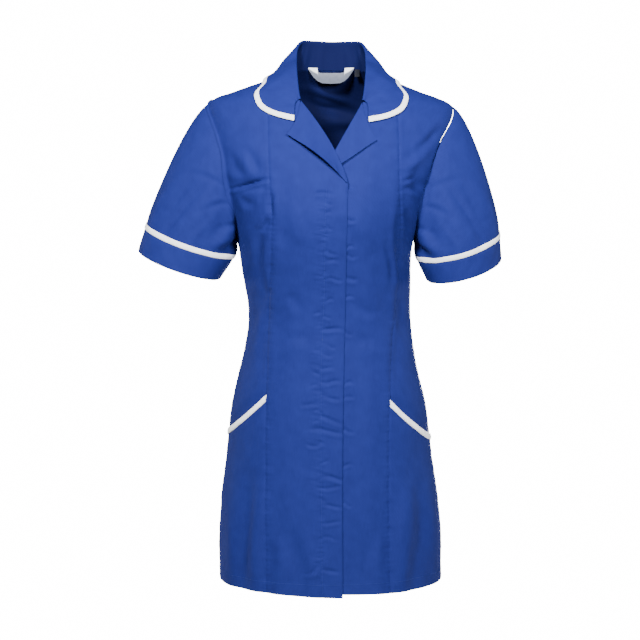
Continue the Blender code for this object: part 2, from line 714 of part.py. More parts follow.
def collar(name, material):
    """The stand and the fall, one folded piece from the neck seam to the binding."""
    rows = np.concatenate([spread(0, 3, 1), spread(1, 4, 2)[1:], spread(2, 5, 3)[1:]])

    def shape(u, v):
        way, across = mix(-1, 1, u), 3 * v
        end = binding_start(way)
        across = np.where(across > 2, mix(2, end, across - 2), across)
        return collar_middle(way, across)

    return cloth(name, shape, (COLLAR_WAYS + 1) / 2, rows / 3, material, lift=WALL / 2,
                 trims=(END_TRIM, END_TRIM, FOOT_TRIM, SEAM_GAP))


def collar_binding(name, material):
    shape = lambda u, v: collar_middle(mix(-1, 1, u), mix(binding_start(mix(-1, 1, u)), 3, v))
    return cloth(name, shape, (COLLAR_WAYS + 1) / 2, (0.0, 0.5, 1.0), material, wall=BAND_WALL,
                 lift=BAND_WALL / 2, trims=(END_TRIM, END_TRIM, SEAM_GAP, 0))


# Revers

def revers_layout(side, u, share):
    """The revers laid out in the front view: u from the break to the gorge, and the share of
    the way from the roll line to the outer edge."""
    cut = REVERS[hand(side)]
    reading = lambda i: (
        roll_line(side, u)[i],
        (1 - u)**2 * cut["start"][i] + 2 * u * (1 - u) * cut["bend"][i] + u * u * cut["tip"][i],
        cut["notch"][i] - (ROLL_TOP[i] + cut["tip"][i]) / 2)
    (roll_x, edge_x, bend_x), (roll_z, edge_z, bend_z) = reading(0), reading(1)
    swell = 4 * share * (1 - share) * u**2
    width = np.hypot(edge_x - roll_x, edge_z - roll_z)
    x = mix(roll_x, edge_x, share) + bend_x * swell
    return x, mix(roll_z, edge_z, share) + bend_z * swell, width


def revers(side, name, material):
    """The turned-back top of a front, from inside the roll line round its fold to the tip."""
    cut = REVERS[hand(side)]
    fold_rows, all_rows = 4, 11
    turned = fold_rows / all_rows

    def shape(u, v):
        u = mix(cut["from"], 1, u)
        fold = np.clip(v / turned, 0, 1)
        flat = np.clip((v - turned) / (1 - turned), 0, 1)
        width = revers_layout(side, u, 0.0)[2]
        swing = np.pi * (fold - 0.5)
        inset = REVERS_FOLD * (REVERS_INSET - np.cos(swing))
        share = mix(inset / width, 1, flat)
        x, z, width = revers_layout(side, u, share)
        place, normal = front_face(side, angle_at(side * x, z), z)
        lift = cut["lift"] * flat**1.5 * ease(u, 2 * cut["from"], 0.5) * (1 - 0.6 * ease(u, 0.6, 1))
        height = REVERS_REST - REVERS_FOLD + REVERS_FOLD * np.sin(swing) + lift
        return place + normal * height[..., None]

    return cloth(name, shape, spread(0, 9, 1), spread(0, all_rows, 1), material, lift=WALL / 2,
                 out=-side, trims=(0, END_TRIM, 0, 0))


# Label and size tab in the back of the neck

def stand_inside(way):
    """Where a label's inner face lies, just inside the foot of the collar's stand."""
    way = np.asarray(way, float)
    step = 1e-3
    foot = collar_middle(way, LABEL_FOOT + 0 * way)
    ahead = collar_middle(way + step, LABEL_FOOT + 0 * way) - foot
    inward = unit(points(ahead[..., 1], -ahead[..., 0], 0.0))
    return foot + inward * (WALL / 2 + 2 * SEAM_GAP + LABEL_WALL)


def label(name, material):
    """The neck label: sewn in by its two ends and hanging in a shallow loop, left bare."""
    depth = stand_inside(LABEL_WAY)[1]

    def shape(u, v):
        x = mix(-LABEL["x"][-1], LABEL["x"][-1], u)
        top = np.interp(np.abs(x), LABEL["x"], LABEL["top"])
        low = np.interp(np.abs(x), LABEL["x"], LABEL["low"])
        return points(x, depth + 0 * x, mix(low, top, v))

    ways = np.concatenate([-LABEL["x"][:0:-1], LABEL["x"]]) / LABEL["x"][-1]
    return cloth(name, shape, (ways + 1) / 2, (0.0, 0.5, 1.0), material, wall=LABEL_WALL)


def size_tab(name, material):
    """A small tab that hangs from the foot of the stand, left bare."""
    def shape(u, v):
        top = stand_inside(mix(TAB_WAYS[0], TAB_WAYS[1], u))
        return top - points(0.0 * u, 1 - v, TAB_LENGTH * (1 - v))

    return cloth(name, shape, (0.0, 0.5, 1.0), (0.0, 0.5, 1.0), material, wall=LABEL_WALL)


def build():
    blue = fabric("royal blue twill", BLUE, 0.78)
    side_front(-1, "side_front_right", blue)
    side_front(1, "side_front_left", blue)
    pocket_front(-1, "pocket_front_right", blue)
    pocket_front(1, "pocket_front_left", blue)
    white = fabric("white binding", WHITE, 0.7)
    pocket_binding(-1, "pocket_binding_right", white)
    pocket_binding(1, "pocket_binding_left", white)
    front(-1, "front_right", blue)
    front(1, "front_left", blue)
    back("back", blue)
    revers(-1, "revers_right", blue)
    revers(1, "revers_left", blue)
    collar("collar", blue)
    collar_binding("collar_binding", white)
    label("neck_label", fabric("white label tape", WHITE, 0.5))
    size_tab("size_tab", fabric("navy label tape", NAVY, 0.6))
    split = 1 + BINDING_WIDTH / (BINDING_WIDTH + CUFF_DEPTH)
    for arm, sleeve in SLEEVES.items():
        sleeve_band(f"sleeve_{arm}", sleeve, 0, 1, spread(0, 9, 1), blue, 0.0, WALL,
                    (0, 0, CAP_TRIM, HALF_GAP))
        sleeve_band(f"sleeve_binding_{arm}", sleeve, 1, split, (0.0, 1.0), white, SEAM_GAP,
                    BAND_WALL, (0, 0, HALF_GAP, HALF_GAP))
        sleeve_band(f"cuff_{arm}", sleeve, split, 2, spread(0, 3, 1), blue, SEAM_GAP, BAND_WALL,
                    (0, 0, HALF_GAP, 0))


for stale in list(bpy.data.objects):
    bpy.data.objects.remove(stale, do_unlink=True)
parts = bpy.data.collections.new("medical_tunic")
bpy.context.scene.collection.children.link(parts)
build()
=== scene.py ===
# A fitted, short-sleeved medical tunic in royal blue twill with white binding, filled out as worn.
# Sizes are in millimetres and become metres where a mesh is made. The front faces -Y.
import bpy
import numpy as np
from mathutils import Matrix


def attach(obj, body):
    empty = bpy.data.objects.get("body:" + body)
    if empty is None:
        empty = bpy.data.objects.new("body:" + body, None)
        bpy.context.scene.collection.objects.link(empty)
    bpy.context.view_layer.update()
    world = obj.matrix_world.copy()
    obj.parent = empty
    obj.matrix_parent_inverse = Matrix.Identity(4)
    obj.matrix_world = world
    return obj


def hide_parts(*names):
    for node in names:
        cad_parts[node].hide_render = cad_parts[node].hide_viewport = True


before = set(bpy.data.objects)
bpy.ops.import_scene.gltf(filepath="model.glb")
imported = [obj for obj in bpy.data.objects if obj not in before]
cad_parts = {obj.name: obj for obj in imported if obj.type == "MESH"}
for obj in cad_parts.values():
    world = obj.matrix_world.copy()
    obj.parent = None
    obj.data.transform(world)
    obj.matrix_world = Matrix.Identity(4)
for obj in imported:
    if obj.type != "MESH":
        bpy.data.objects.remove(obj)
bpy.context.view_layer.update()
print("frame loaded:", len(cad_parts), "nodes")

mm = 0.001


def table(columns, *rows):
    return {name: np.array(values, float) for name, values in zip(columns.split(), zip(*rows))}


def hermite(t, start, leave, end, arrive):  # a smooth way from start to end, t from 0 to 1
    return ((2 * t**3 - 3 * t**2 + 1) * start + (t**3 - 2 * t**2 + t) * leave
            + (3 * t**2 - 2 * t**3) * end + (t**3 - t**2) * arrive)


def curve(at, knots, values):  # a smooth curve through the knots of a table
    slopes = np.gradient(values, knots)
    first = np.clip(np.searchsorted(knots, at) - 1, 0, len(knots) - 2)
    last = first + 1
    span = knots[last] - knots[first]
    t = (at - knots[first]) / span
    return hermite(t, values[first], span * slopes[first], values[last], span * slopes[last])


def ease(value, start, end):  # rises smoothly from 0 at start to 1 at end
    t = np.clip((value - start) / (end - start), 0, 1)
    return t * t * (3 - 2 * t)


def mix(a, b, t):
    return a + (b - a) * t


def points(*parts):
    return np.stack(np.broadcast_arrays(*parts), axis=-1)


def lattice(columns, rows):
    return np.meshgrid(columns, rows, indexing="ij")


def lifted(place, normal, height):
    return place + normal * height[..., None]


def unit(vectors):
    return vectors / np.maximum(np.linalg.norm(vectors, axis=-1, keepdims=True), 1e-9)


def steps(*stops):  # stretches of even steps: value, count, value, count, ... value
    rows = [np.array([stops[0]], float)]
    for start, count, end in zip(stops[:-2:2], stops[1::2], stops[2::2]):
        rows.append(np.linspace(start, end, int(count) + 1)[1:])
    return np.concatenate(rows)


def ripple(t, seed):  # an uneven wave, about -1 to 1
    draw = np.random.default_rng(seed)
    total = np.zeros(np.shape(t))
    for rate in (1.0, 0.61, 1.73, 0.37):
        total = total + np.sin(2 * np.pi * (rate * t + draw.random())) / 2.2
    return total


def unevenness(x, z, size, seed):  # soft hollows and swells, about -1 to 1
    draw = np.random.default_rng(seed)
    total = np.zeros(np.shape(x))
    for _ in range(14):
        turn, rate = draw.random() * np.pi, draw.uniform(0.6, 1.6)
        way = np.cos(turn) * x * 1.5 + np.sin(turn) * z * 0.75
        total = total + np.sin(2 * np.pi * (way * rate / size + draw.random()))
    return total / 5.5


# Body: level sections from the hem up to the neck
bodyCut = {
    "sections": table(
        "height  halfWidth  front  back  shift  power",
        (-778,   171,       140,   126,  -1,    2.0),
        (-720,   172,       136,   123,  -1.5,  2.0),
        (-660,   168,       131,   120,  -2,    2.05),
        (-580,   157.5,     124,   116,  -3,    2.05),
        (-500,   147.5,     117,   110,  -3,    2.1),
        (-430,   131,       110,   98,   -3,    2.1),
        (-365,   123,       107,   83,   -3,    2.1),
        (-320,   127,       113,   82,   -6,    2.15),
        (-275,   131.5,     122,   87,   -9,    2.2),
        (-240,   138,       129,   93,   -9,    2.2),
        (-210,   147,       132,   99,   -8,    2.2),
        (-178,   160,       128,   102,  -7,    2.2),
        (-140,   174,       117,   102,  -4,    2.2),
        (-100,   184,       99,    99,   -2,    2.2),
        (-75,    188,       85,    94,   0,     2.2),
        (-58,    187,       74,    90,   0,     2.2),
        (-47,    181,       65,    87,   0,     2.2),
        (-38,    161,       59,    83,   0,     2.2),
        (-29,    136,       51,    79,   0,     2.2),
        (-20,    112,       43,    75,   0,     2.2),
        (-12,    92,        35,    71,   0,     2.2),
        (-5,     77,        25,    67,   0,     2.2),
        (0,      68,        18,    64,   0,     2.2)),
    "hem": -778.0,
    "underarm": -240.0,
    "shoulder": -47.0,
    "wall": 0.9,
    "hemWall": 1.6,      # the hem is turned up twice
    "hemTurn": 20.0,
    "hemLine": 17.0,     # the hem's stitches run this far above its edge
    "hemStep": 0.3,
    "hemSoft": 1.5,      # over this height the doubled cloth ends
    "lean": 0.017,       # the wearer's right shoulder stands higher
    "leanFades": (520, 760),
}

# The armhole from the underarm up to the shoulder: how far it bites in from the side, in degrees
armholeCut = table(
    "step  height  front  back",
    (0.0,  -240,   0,     0),
    (0.07, -237.5, 8,     8),
    (0.16, -229,   15,    14),
    (0.28, -211,   20.5,  17.5),
    (0.46, -178,   21.5,  18),
    (0.68, -130,   19.8,  16),
    (0.86, -84,    11.6,  10),
    (0.95, -60,    4.6,   4.2),
    (1.0,  -47,    0,     0))

# Panel seams of the fronts: how far out they lie on the wearer's right and left
panelSeam = table(
    "height  right  left",
    (-778,   99,    89),
    (-486,   98,    88),
    (-400,   96,    93),
    (-320,   93,    100),
    (-240,   89,    105),
    (-160,   92,    101),
    (-80,    95,    100),
    (0,      95,    96))

# The panel, side and shoulder seams: how their stitches draw the cloth in. A swell or hollow is
# its height, how far outside the panel seam it lies, and its width.
seamCut = {
    "dip": 0.85,
    "reach": 2.2,
    "panelPucker": {"wave": 13.0, "height": 0.5, "reach": 6.0},
    "sidePucker": {"wave": 15.0, "height": 0.4, "reach": 7.0},
    "swell": (0.9, -9.0, 7.0),
    "hollow": (-1.9, 7.0, 7.0),
    "hollowFrom": (150, 185),    # how far below the neck the two begin,
    "hollowTo": (440, 480),      # and where they end
}

# The main folds, from one end to the other in the front (1) or back (-1) view
mainFolds = table(
    "face  x0    z0     x1    z1     width  height",
    (1,    -98,  -158,  -160, -172,  9,     -3.2),
    (1,    -104, -150,  -140, -100,  16,    2.6),
    (1,    -96,  -150,  -124, -118,  11,    -1.6),
    (1,    104,  -166,  150,  -178,  10,    -2.2),
    (1,    108,  -158,  138,  -112,  15,    1.8),
    (1,    -112, -330,  -138, -430,  16,    2.6),
    (1,    -84,  -270,  -126, -400,  15,    -2.0),
    (1,    86,   -250,  122,  -420,  16,    2.6),
    (1,    70,   -290,  100,  -430,  14,    -2.0),
    (1,    -40,  -330,  -60,  -470,  20,    1.6),
    (1,    -126, -600,  -132, -800,  24,    3.0),
    (1,    124,  -560,  132,  -800,  24,    3.0),
    (1,    56,   -620,  52,   -800,  26,    -2.4),
    (1,    -58,  -640,  -56,  -800,  26,    -1.6),
    (-1,   -60,  -60,   60,   -58,   9,     3.0),
    (-1,   -70,  -84,   66,   -80,   9,     -2.6),
    (-1,   -92,  -250,  -60,  -420,  18,    3.0),
    (-1,   92,   -250,  62,   -430,  18,    3.0),
    (-1,   -100, -340,  100,  -346,  14,    -2.6),
    (-1,   -88,  -372,  84,   -366,  11,    2.4),
    (-1,   -104, -560,  -112, -800,  26,    3.4),
    (-1,   100,  -540,  110,  -800,  26,    3.4),
    (-1,   0,    -560,  0,    -800,  34,    -3.0))

# Smaller creases that the hand leaves in the cloth, in the same views: a trough where the height
# is negative, with a low ridge along one side
creases = table(
    "face  x0    z0     x1    z1     width  height",
    (1,    -134, -110,  -104, -150,  7,     -1.2),   # from the right armhole to the bust
    (1,    -153, -124,  -127, -156,  7,     -1.2),
    (1,    -158, -175,  -90,  -157,  3.0,   -2.3),
    (1,    -152, -183,  -94,  -166,  4.5,   -0.6),
    (1,    -140, -185,  -112, -196,  6,     -0.9),
    (1,    -150, -186,  -143, -300,  7,     -2.6),   # below the arms
    (1,    138,  -186,  127,  -300,  7,     -2.6),
    (1,    -90,  -172,  -86,  -222,  4.5,   -1.3),
    (1,    -86,  -214,  -110, -236,  5,     -1.0),
    (1,    -108, -228,  -118, -326,  6,     -1.6),
    (1,    -95,  -226,  -96,  -328,  6,     1.3),
    (1,    -94,  -334,  -122, -428,  7,     1.4),
    (1,    -128, -250,  -124, -330,  6,     -0.9),
    (1,    -108, -350,  -138, -440,  6,     -1.2),
    (1,    170,  -84,   124,  -116,  6,     -1.5),   # from the left armhole to the bust
    (1,    150,  -104,  108,  -150,  7,     1.2),
    (1,    118,  -142,  146,  -176,  9,     -1.9),
    (1,    104,  -158,  126,  -160,  3.2,   -1.1),
    (1,    106,  -170,  140,  -184,  4,     -1.0),
    (1,    99,   -186,  106,  -324,  6,     -1.3),
    (1,    117,  -200,  118,  -264,  5,     -1.3),
    (1,    79,   -246,  96,   -326,  5.5,   -1.4),
    (1,    94,   -318,  126,  -426,  6,     -1.5),
    (1,    99,   -258,  100,  -296,  4,     -1.0),
    (1,    108,  -350,  128,  -442,  7,     1.3),
    (1,    -62,  -190,  -30,  -260,  12,    0.8),    # chest and belly
    (1,    34,   -200,  58,   -270,  12,    0.8),
    (1,    -70,  -330,  -40,  -352,  8,     -0.7),
    (1,    30,   -338,  74,   -362,  8,     -0.8),
    (1,    -76,  -392,  -30,  -398,  9,     -0.6),
    (1,    34,   -404,  76,   -396,  9,     -0.6),
    (1,    -60,  -420,  -84,  -520,  11,    0.8),
    (1,    50,   -440,  66,   -560,  12,    0.8),
    (1,    -130, -590,  -131, -800,  11,    -2.4),   # hem
    (1,    -112, -610,  -110, -800,  11,    1.5),
    (1,    -150, -620,  -156, -800,  9,     1.6),
    (1,    131,  -610,  130,  -800,  11,    -2.4),
    (1,    112,  -610,  108,  -800,  11,    1.5),
    (1,    152,  -600,  158,  -800,  9,     1.8),
    (1,    -80,  -690,  -78,  -800,  10,    1.0),
    (1,    74,   -680,  76,   -800,  10,    1.0),
    (1,    -34,  -660,  -30,  -800,  12,    0.9),
    (-1,   -58,  -24,   52,   -54,   6,     -0.8),   # across the back, below the neck
    (-1,   -58,  -41,   52,   -73,   7,     1.1),
    (-1,   -150, -100,  -98,  -150,  8,     -1.9),   # from the armholes
    (-1,   150,  -104,  96,   -152,  8,     -1.9),
    (-1,   -148, -150,  -96,  -196,  8,     -1.5),
    (-1,   146,  -156,  98,   -200,  8,     -1.5),
    (-1,   -80,  -100,  -20,  -112,  8,     -1.1),
    (-1,   84,   -96,   16,   -110,  8,     -1.1),
    (-1,   -46,  -150,  -40,  -260,  14,    1.0),
    (-1,   44,   -150,  38,   -262,  14,    1.0),
    (-1,   -118, -300,  -30,  -322,  8,     -1.7),   # small of the back
    (-1,   116,  -296,  24,   -320,  8,     -1.7),
    (-1,   -110, -318,  -20,  -352,  7,     1.2),
    (-1,   112,  -322,  10,   -358,  7,     1.2),
    (-1,   -112, -386,  -16,  -392,  8,     -1.5),
    (-1,   106,  -382,  20,   -396,  8,     -1.5),
    (-1,   -96,  -416,  -30,  -424,  8,     1.0),
    (-1,   92,   -418,  36,   -426,  8,     1.0),
    (-1,   -130, -400,  -124, -500,  9,     -1.3),
    (-1,   128,  -404,  122,  -500,  9,     -1.3),
    (-1,   -56,  -480,  -60,  -640,  16,    1.2),
    (-1,   54,   -470,  58,   -640,  16,    1.2),
    (-1,   -84,  -600,  -80,  -800,  12,    -1.9),
    (-1,   76,   -590,  80,   -800,  12,    -1.9),
    (-1,   -134, -610,  -140, -800,  11,    -2.0),
    (-1,   134,  -600,  140,  -800,  11,    -2.0),
    (-1,   -40,  -640,  -36,  -800,  12,    1.3),
    (-1,   36,   -640,  40,   -800,  12,    1.3))

# How much of the tables' heights the cloth shows, and its own unevenness: size, seed and height
foldRise = {"main": 1.25, "frontCreases": 2.9, "backCreases": 4.2,
            "uneven": ((58, 3, 0.5), (21, 4, 0.14))}


def body(column, height):
    return curve(height, bodyCut["sections"]["height"], bodyCut["sections"][column])


def lean(height):
    return bodyCut["lean"] * (1 - ease(-height, *bodyCut["leanFades"]))


def bodyPlain(angle, height):  # without folds: angle 0 is the front, 90 the wearer's left
    power = body("power", height)
    sine, cosine = np.sin(np.radians(angle)), np.cos(np.radians(angle))
    depth = np.where(cosine > 0, body("front", height), body("back", height))
    total = (np.abs(sine) / body("halfWidth", height))**power + (np.abs(cosine) / depth)**power
    radius = total**(-1 / power)
    x = body("shift", height) + radius * sine
    return points(x, -radius * cosine, height - lean(height) * x)


def bodyNormal(angle, height):
    step = 0.05
    across = bodyPlain(angle + step, height) - bodyPlain(angle - step, height)
    up = bodyPlain(angle, height + step) - bodyPlain(angle, height - step)
    return unit(np.cross(across, up))


def angleAt(x, height):  # the angle of the front point that is this far from the middle
    power = body("power", height)
    aside = x - body("shift", height)
    share = np.clip(np.abs(aside) / body("halfWidth", height), 0, 1)
    return np.degrees(np.arctan2(aside, body("front", height) * (1 - share**power)**(1 / power)))


def armhole(step, face):
    bite = curve(step, armholeCut["step"], armholeCut[face])
    angle = 90 - bite if face == "front" else 90 + bite
    return angle, curve(step, armholeCut["step"], armholeCut["height"])


def hand(side):
    return "right" if side < 0 else "left"


def panelSeamAt(height, side):
    return side * curve(height, panelSeam["height"], panelSeam[hand(side)])


def panelSeamAngle(height, side):
    return side * angleAt(panelSeamAt(height, side), height)


def seamTop(side):  # where the panel seam meets the shoulder seam
    heights = np.linspace(-30, 0, 601)
    gaps = np.abs(panelSeamAt(heights, side) - body("shift", heights)) - body("halfWidth", heights)
    return heights[np.argmin(np.abs(gaps))]


def besideLine(x, z, x0, z0, x1, z1):  # how far along a line, 0 to 1, and how far to its side
    length = np.hypot(x1 - x0, z1 - z0)
    along = ((x - x0) * (x1 - x0) + (z - z0) * (z1 - z0)) / length**2
    return along, ((x - x0) * (z1 - z0) - (z - z0) * (x1 - x0)) / length


def swell(away, height, middle, width):
    return height * np.exp(-((away - middle) / width)**2)


def crossCrease(aside, ridge, ridgeAt):  # a fold's section, with a lower one that runs beside it
    return np.exp(-aside**2) - ridge * np.exp(-(aside - ridgeAt)**2)


def foldHeight(x, z, face, rows, ridge):
    total = np.zeros(x.shape)
    for number, (side, x0, z0, x1, z1, width, height) in enumerate(zip(*rows.values())):
        along, aside = besideLine(x, z, x0, z0, x1, z1)
        aside = aside / width + ridge * 0.5 * np.sin(along * 4.5 + number * 2.1)
        ends = np.sin(np.pi * np.clip(along, 0, 1))**(2 - ridge)
        rise = height * ends * crossCrease(aside, ridge * 0.45, 1.8)
        total += np.where(face * side > 0, rise, 0)
    return total


def seamPucker(z, away, pucker, seed):
    return ripple(z / pucker["wave"], seed) * np.exp(-np.abs(away) / pucker["reach"]) * pucker["height"]


def seamRelief(angle, height, place):
    x, z = place[..., 0], place[..., 2]
    total = np.zeros(x.shape)
    inFront = np.cos(np.radians(angle)) > 0
    for side in (-1, 1):
        away = x - panelSeamAt(height, side)
        fall = swell(side * away, *seamCut["swell"]) + swell(side * away, *seamCut["hollow"])
        fall *= ease(-z, *seamCut["hollowFrom"]) * (1 - ease(-z, *seamCut["hollowTo"]))
        fall += seamPucker(z, away, seamCut["panelPucker"], 11 + side)
        total += np.where(inFront, fall - swell(away, seamCut["dip"], 0, seamCut["reach"]), 0)
    turn = np.minimum(np.abs(angle % 360 - 90), np.abs(angle % 360 - 270))
    away = np.radians(turn) * body("halfWidth", height)
    total -= swell(away, seamCut["dip"], 0, seamCut["reach"])
    line = bodyCut["hem"] + bodyCut["hemLine"]
    total += bodyCut["hemStep"] * (1 - ease(height, line, line + bodyCut["hemSoft"]))
    return total + seamPucker(z, away, seamCut["sidePucker"], 5)


def bodyCloth(angle, height):  # a point of the cloth's outer face, and the way out of it
    place, normal = bodyPlain(angle, height), bodyNormal(angle, height)
    cosine = np.cos(np.radians(angle))
    face = np.sign(cosine + 1e-9)
    x, z = place[..., 0], place[..., 2]
    fade = np.abs(cosine)**0.5
    rise = foldHeight(x, z, face, mainFolds, 0) * fade * foldRise["main"]
    creaseRise = np.where(face > 0, foldRise["frontCreases"], foldRise["backCreases"])
    rise += foldHeight(x, z, face, creases, 1) * fade * creaseRise
    for size, seed, most in foldRise["uneven"]:
        rise += unevenness(x, z, size, seed) * most
    rise += seamRelief(angle, height, place)
    return lifted(place, normal, rise), normal


# Making the cloth

def arcLength(grid, axis):
    gaps = np.linalg.norm(np.diff(grid, axis=axis), axis=-1)
    start = np.zeros_like(np.take(gaps, [0], axis=axis))
    return np.concatenate([start, np.cumsum(gaps, axis=axis)], axis=axis)


def gridNormals(grid, around):
    if around:
        across = np.roll(grid, -1, axis=0) - np.roll(grid, 1, axis=0)
    else:
        across = np.gradient(grid, axis=0)
    return unit(np.cross(across, np.gradient(grid, axis=1)))


def rowAt(height, level):  # which row of the grid lies at this level, in each column
    return np.array([np.interp(level, column, np.arange(len(column))) for column in height])


def sewRow(seam, outer, normal, row, around):
    column = np.arange(len(row))
    below = np.clip(row.astype(int), 0, outer.shape[1] - 2)
    share = (row - below)[:, None]
    line, up = [mix(grid[column, below], grid[column, below + 1], share) for grid in (outer, normal)]
    if around:
        line, up = np.concatenate([line, line[:1]]), np.concatenate([up, up[:1]])
    stitchLines.setdefault(seam, []).append((line, up))


stitchLines = {}


def clothFaces(nu, nv, around):  # both faces and the rim, with each corner's place on the grain
    columns = nu if around else nu - 1
    i, j = [part.ravel() for part in lattice(np.arange(columns), np.arange(nv - 1))]
    corners = [(i, j), (i + 1, j), (i + 1, j + 1), (i, j + 1)]
    vertex = np.stack([(a % nu) * nv + b for a, b in corners], axis=-1)
    place = np.stack([a * nv + b for a, b in corners], axis=-1)
    edges = [((a, 0), (a + 1, 0)) for a in range(columns)]
    edges += [((a + 1, nv - 1), (a, nv - 1)) for a in range(columns)]
    if not around:
        edges += [((nu - 1, b), (nu - 1, b + 1)) for b in range(nv - 1)]
        edges += [((0, b + 1), (0, b)) for b in range(nv - 1)]
    count = nu * nv
    rimVertex, rimPlace = [], []
    for (ai, aj), (bi, bj) in edges:
        a, b = (ai % nu) * nv + aj, (bi % nu) * nv + bj
        rimVertex.append((b, a, count + a, count + b))
        rimPlace.append((bi * nv + bj, ai * nv + aj, ai * nv + aj, bi * nv + bj))
    faces = np.concatenate([vertex, vertex[:, ::-1] + count, np.array(rimVertex)])
    return faces, np.concatenate([place, place[:, ::-1], np.array(rimPlace)])


def addToScene(name, data):
    item = bpy.data.objects.new(name, data)
    bpy.context.scene.collection.objects.link(item)
    return item


def addPiece(name, place, faces, grain, material):
    mesh = bpy.data.meshes.new(name)
    mesh.from_pydata((place.reshape(-1, 3) * mm).tolist(), [], faces)
    mesh.update()
    mesh.uv_layers.new(name="grain").data.foreach_set("uv", grain.ravel())
    mesh.shade_smooth()
    mesh.materials.append(material)
    piece = addToScene(name, mesh)
    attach(piece, "root")
    return piece


def pieceName(node):  # side_front_right becomes sideFrontRight, and back becomes backCloth
    first, *others = node.split("_")
    return first + ("".join(word.title() for word in others) or "Cloth")


def makeCloth(node, outer, slot="royal_blue_twill", wall=bodyCut["wall"], around=False, out=1.0,
              held="draped", restsOn=(), tape=False, goingWith=(), reverseAndShadeShare=0.0, seam="",
              stitched=()):
    normal = gridNormals(outer, around) * out
    nu, nv = outer.shape[:2]
    for row in stitched:
        sewRow(seam, outer, normal, np.broadcast_to(row, nu), around)
    closed = np.concatenate([outer, outer[:1]]) if around else outer
    widths, lengths = arcLength(closed, 0), arcLength(closed, 1)
    middle = closed.shape[0] // 2
    grain = points(widths - widths[middle:middle + 1], lengths[middle:middle + 1])
    inner = lifted(outer, normal, -np.broadcast_to(np.asarray(wall, float), (nu, nv)))
    faces, grainAt = clothFaces(nu, nv, around)
    if out < 0:
        faces, grainAt = faces[:, ::-1], grainAt[:, ::-1]
    piece = addPiece(pieceName(node), np.concatenate([outer, inner]), faces.tolist(),
                     grain.reshape(-1, 2)[grainAt.ravel()], clothOf[slot])
    piece.data.set_sharp_from_angle(angle=1.0)
    # The inside attribute marks where the reverse colour goes: every inner face, and the given share of
    # the outer face. On the twill that colour is painted shade.
    inside = piece.data.attributes.new("inside", "FLOAT", "POINT")
    outerReverseAndShade = np.broadcast_to(np.asarray(reverseAndShadeShare, float), (nu, nv)).ravel()
    inside.data.foreach_set("value", np.concatenate([outerReverseAndShade, np.ones(nu * nv)]))
    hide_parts(node)
    return piece


# Materials

def linearColour(hexValue):
    parts = [int(hexValue[k:k + 2], 16) / 255 for k in (1, 3, 5)]
    return [p / 12.92 if p <= 0.04045 else ((p + 0.055) / 1.055)**2.4 for p in parts] + [1.0]


def setInputs(material, node, inputs):
    for name, value in inputs.items():
        if isinstance(value, bpy.types.NodeSocket):
            material.node_tree.links.new(value, node.inputs[name])
        else:
            node.inputs[name].default_value = value


def addNode(material, kind, inputs=None, **settings):
    node = material.node_tree.nodes.new(kind)
    for name, value in settings.items():
        setattr(node, name, value)
    setInputs(material, node, inputs or {})
    return node


def addShare(material, part, share, total):  # the total so far, and a share of one part
    return addNode(material, "ShaderNodeMath", {0: part, 1: share, 2: total},
                   operation="MULTIPLY_ADD").outputs[0]


def addMix(material, factor, first, second):
    return addNode(material, "ShaderNodeMix", {"Factor": factor, 6: first, 7: second},
                   data_type="RGBA").outputs[2]


def clothMaterial(name, look):
    material = bpy.data.materials.new(name)
    material.use_nodes = True
    deep, light = linearColour(look["deep"]), linearColour(look["light"])
    grain = addNode(material, "ShaderNodeUVMap", uv_map="grain").outputs["UV"]
    turned = addNode(material, "ShaderNodeMapping", {
        "Vector": grain, "Rotation": (0, 0, np.radians(look["waleTurn"]))}).outputs["Vector"]
    wale = addNode(material, "ShaderNodeTexWave", {
        "Vector": turned, "Scale": 2 * np.pi / 20 / look["wale"], "Distortion": 1.2,
        "Detail": 2.0, "Detail Scale": 1.5}, bands_direction="X").outputs["Fac"]
    drawn = addNode(material, "ShaderNodeMapping", {
        "Vector": grain, "Scale": (1 / look["slub"][0], 1 / look["slub"][1], 1)}).outputs["Vector"]
    slub = addNode(material, "ShaderNodeTexNoise", {
        "Vector": drawn, "Scale": 1.0, "Detail": 3.0}).outputs["Fac"]
    mottle = addNode(material, "ShaderNodeTexNoise", {
        "Vector": grain, "Scale": 1 / look["mottle"], "Detail": 2.0}).outputs["Fac"]
    yarn = addShare(material, slub, look["slubShare"],
                    addShare(material, wale, look["waleShare"], 0.0))
    colour = addMix(material, addShare(material, mottle, look["mottleShare"], yarn), deep, light)
    # The inside attribute picks the reverse colour: for the twill a painted shade, for the label its own
    # white ends.
    inside = addNode(material, "ShaderNodeAttribute", attribute_name="inside").outputs["Fac"]
    reverse = linearColour(look.get("reverse", look["deep"]))
    bump = addNode(material, "ShaderNodeBump", {
        "Height": yarn, "Strength": look["bump"], "Distance": 0.0003}).outputs["Normal"]
    setInputs(material, material.node_tree.nodes["Principled BSDF"], {
        "Base Color": addMix(material, inside, colour, reverse), "Normal": bump,
        "Roughness": look["roughness"], "Specular IOR Level": look["specular"],
        "Sheen Weight": look["sheen"], "Sheen Roughness": 0.45, "Sheen Tint": light})
    return material


# Polyester and cotton twill, yarn-dyed: matt, with a slight bloom where it turns away. Its wale is
# about 0.5 mm; it is drawn four times coarser, or it would not show in the render.
# Its reverse colour is a painted shade. It darkens the twill's inner faces and the collar stand, where
# shade falls inside the garment.
twillLook = {"deep": "#10174f", "light": "#1f2a71", "reverse": "#090f3c", "wale": 2.0,
             "waleTurn": 27, "waleShare": 0.25, "slub": (1.1, 16.0), "slubShare": 0.35,
             "mottle": 20.0, "mottleShare": 0.4, "bump": 0.35, "roughness": 0.78,
             "specular": 0.1, "sheen": 0.3}
twill = clothMaterial("wovenTwill", twillLook)

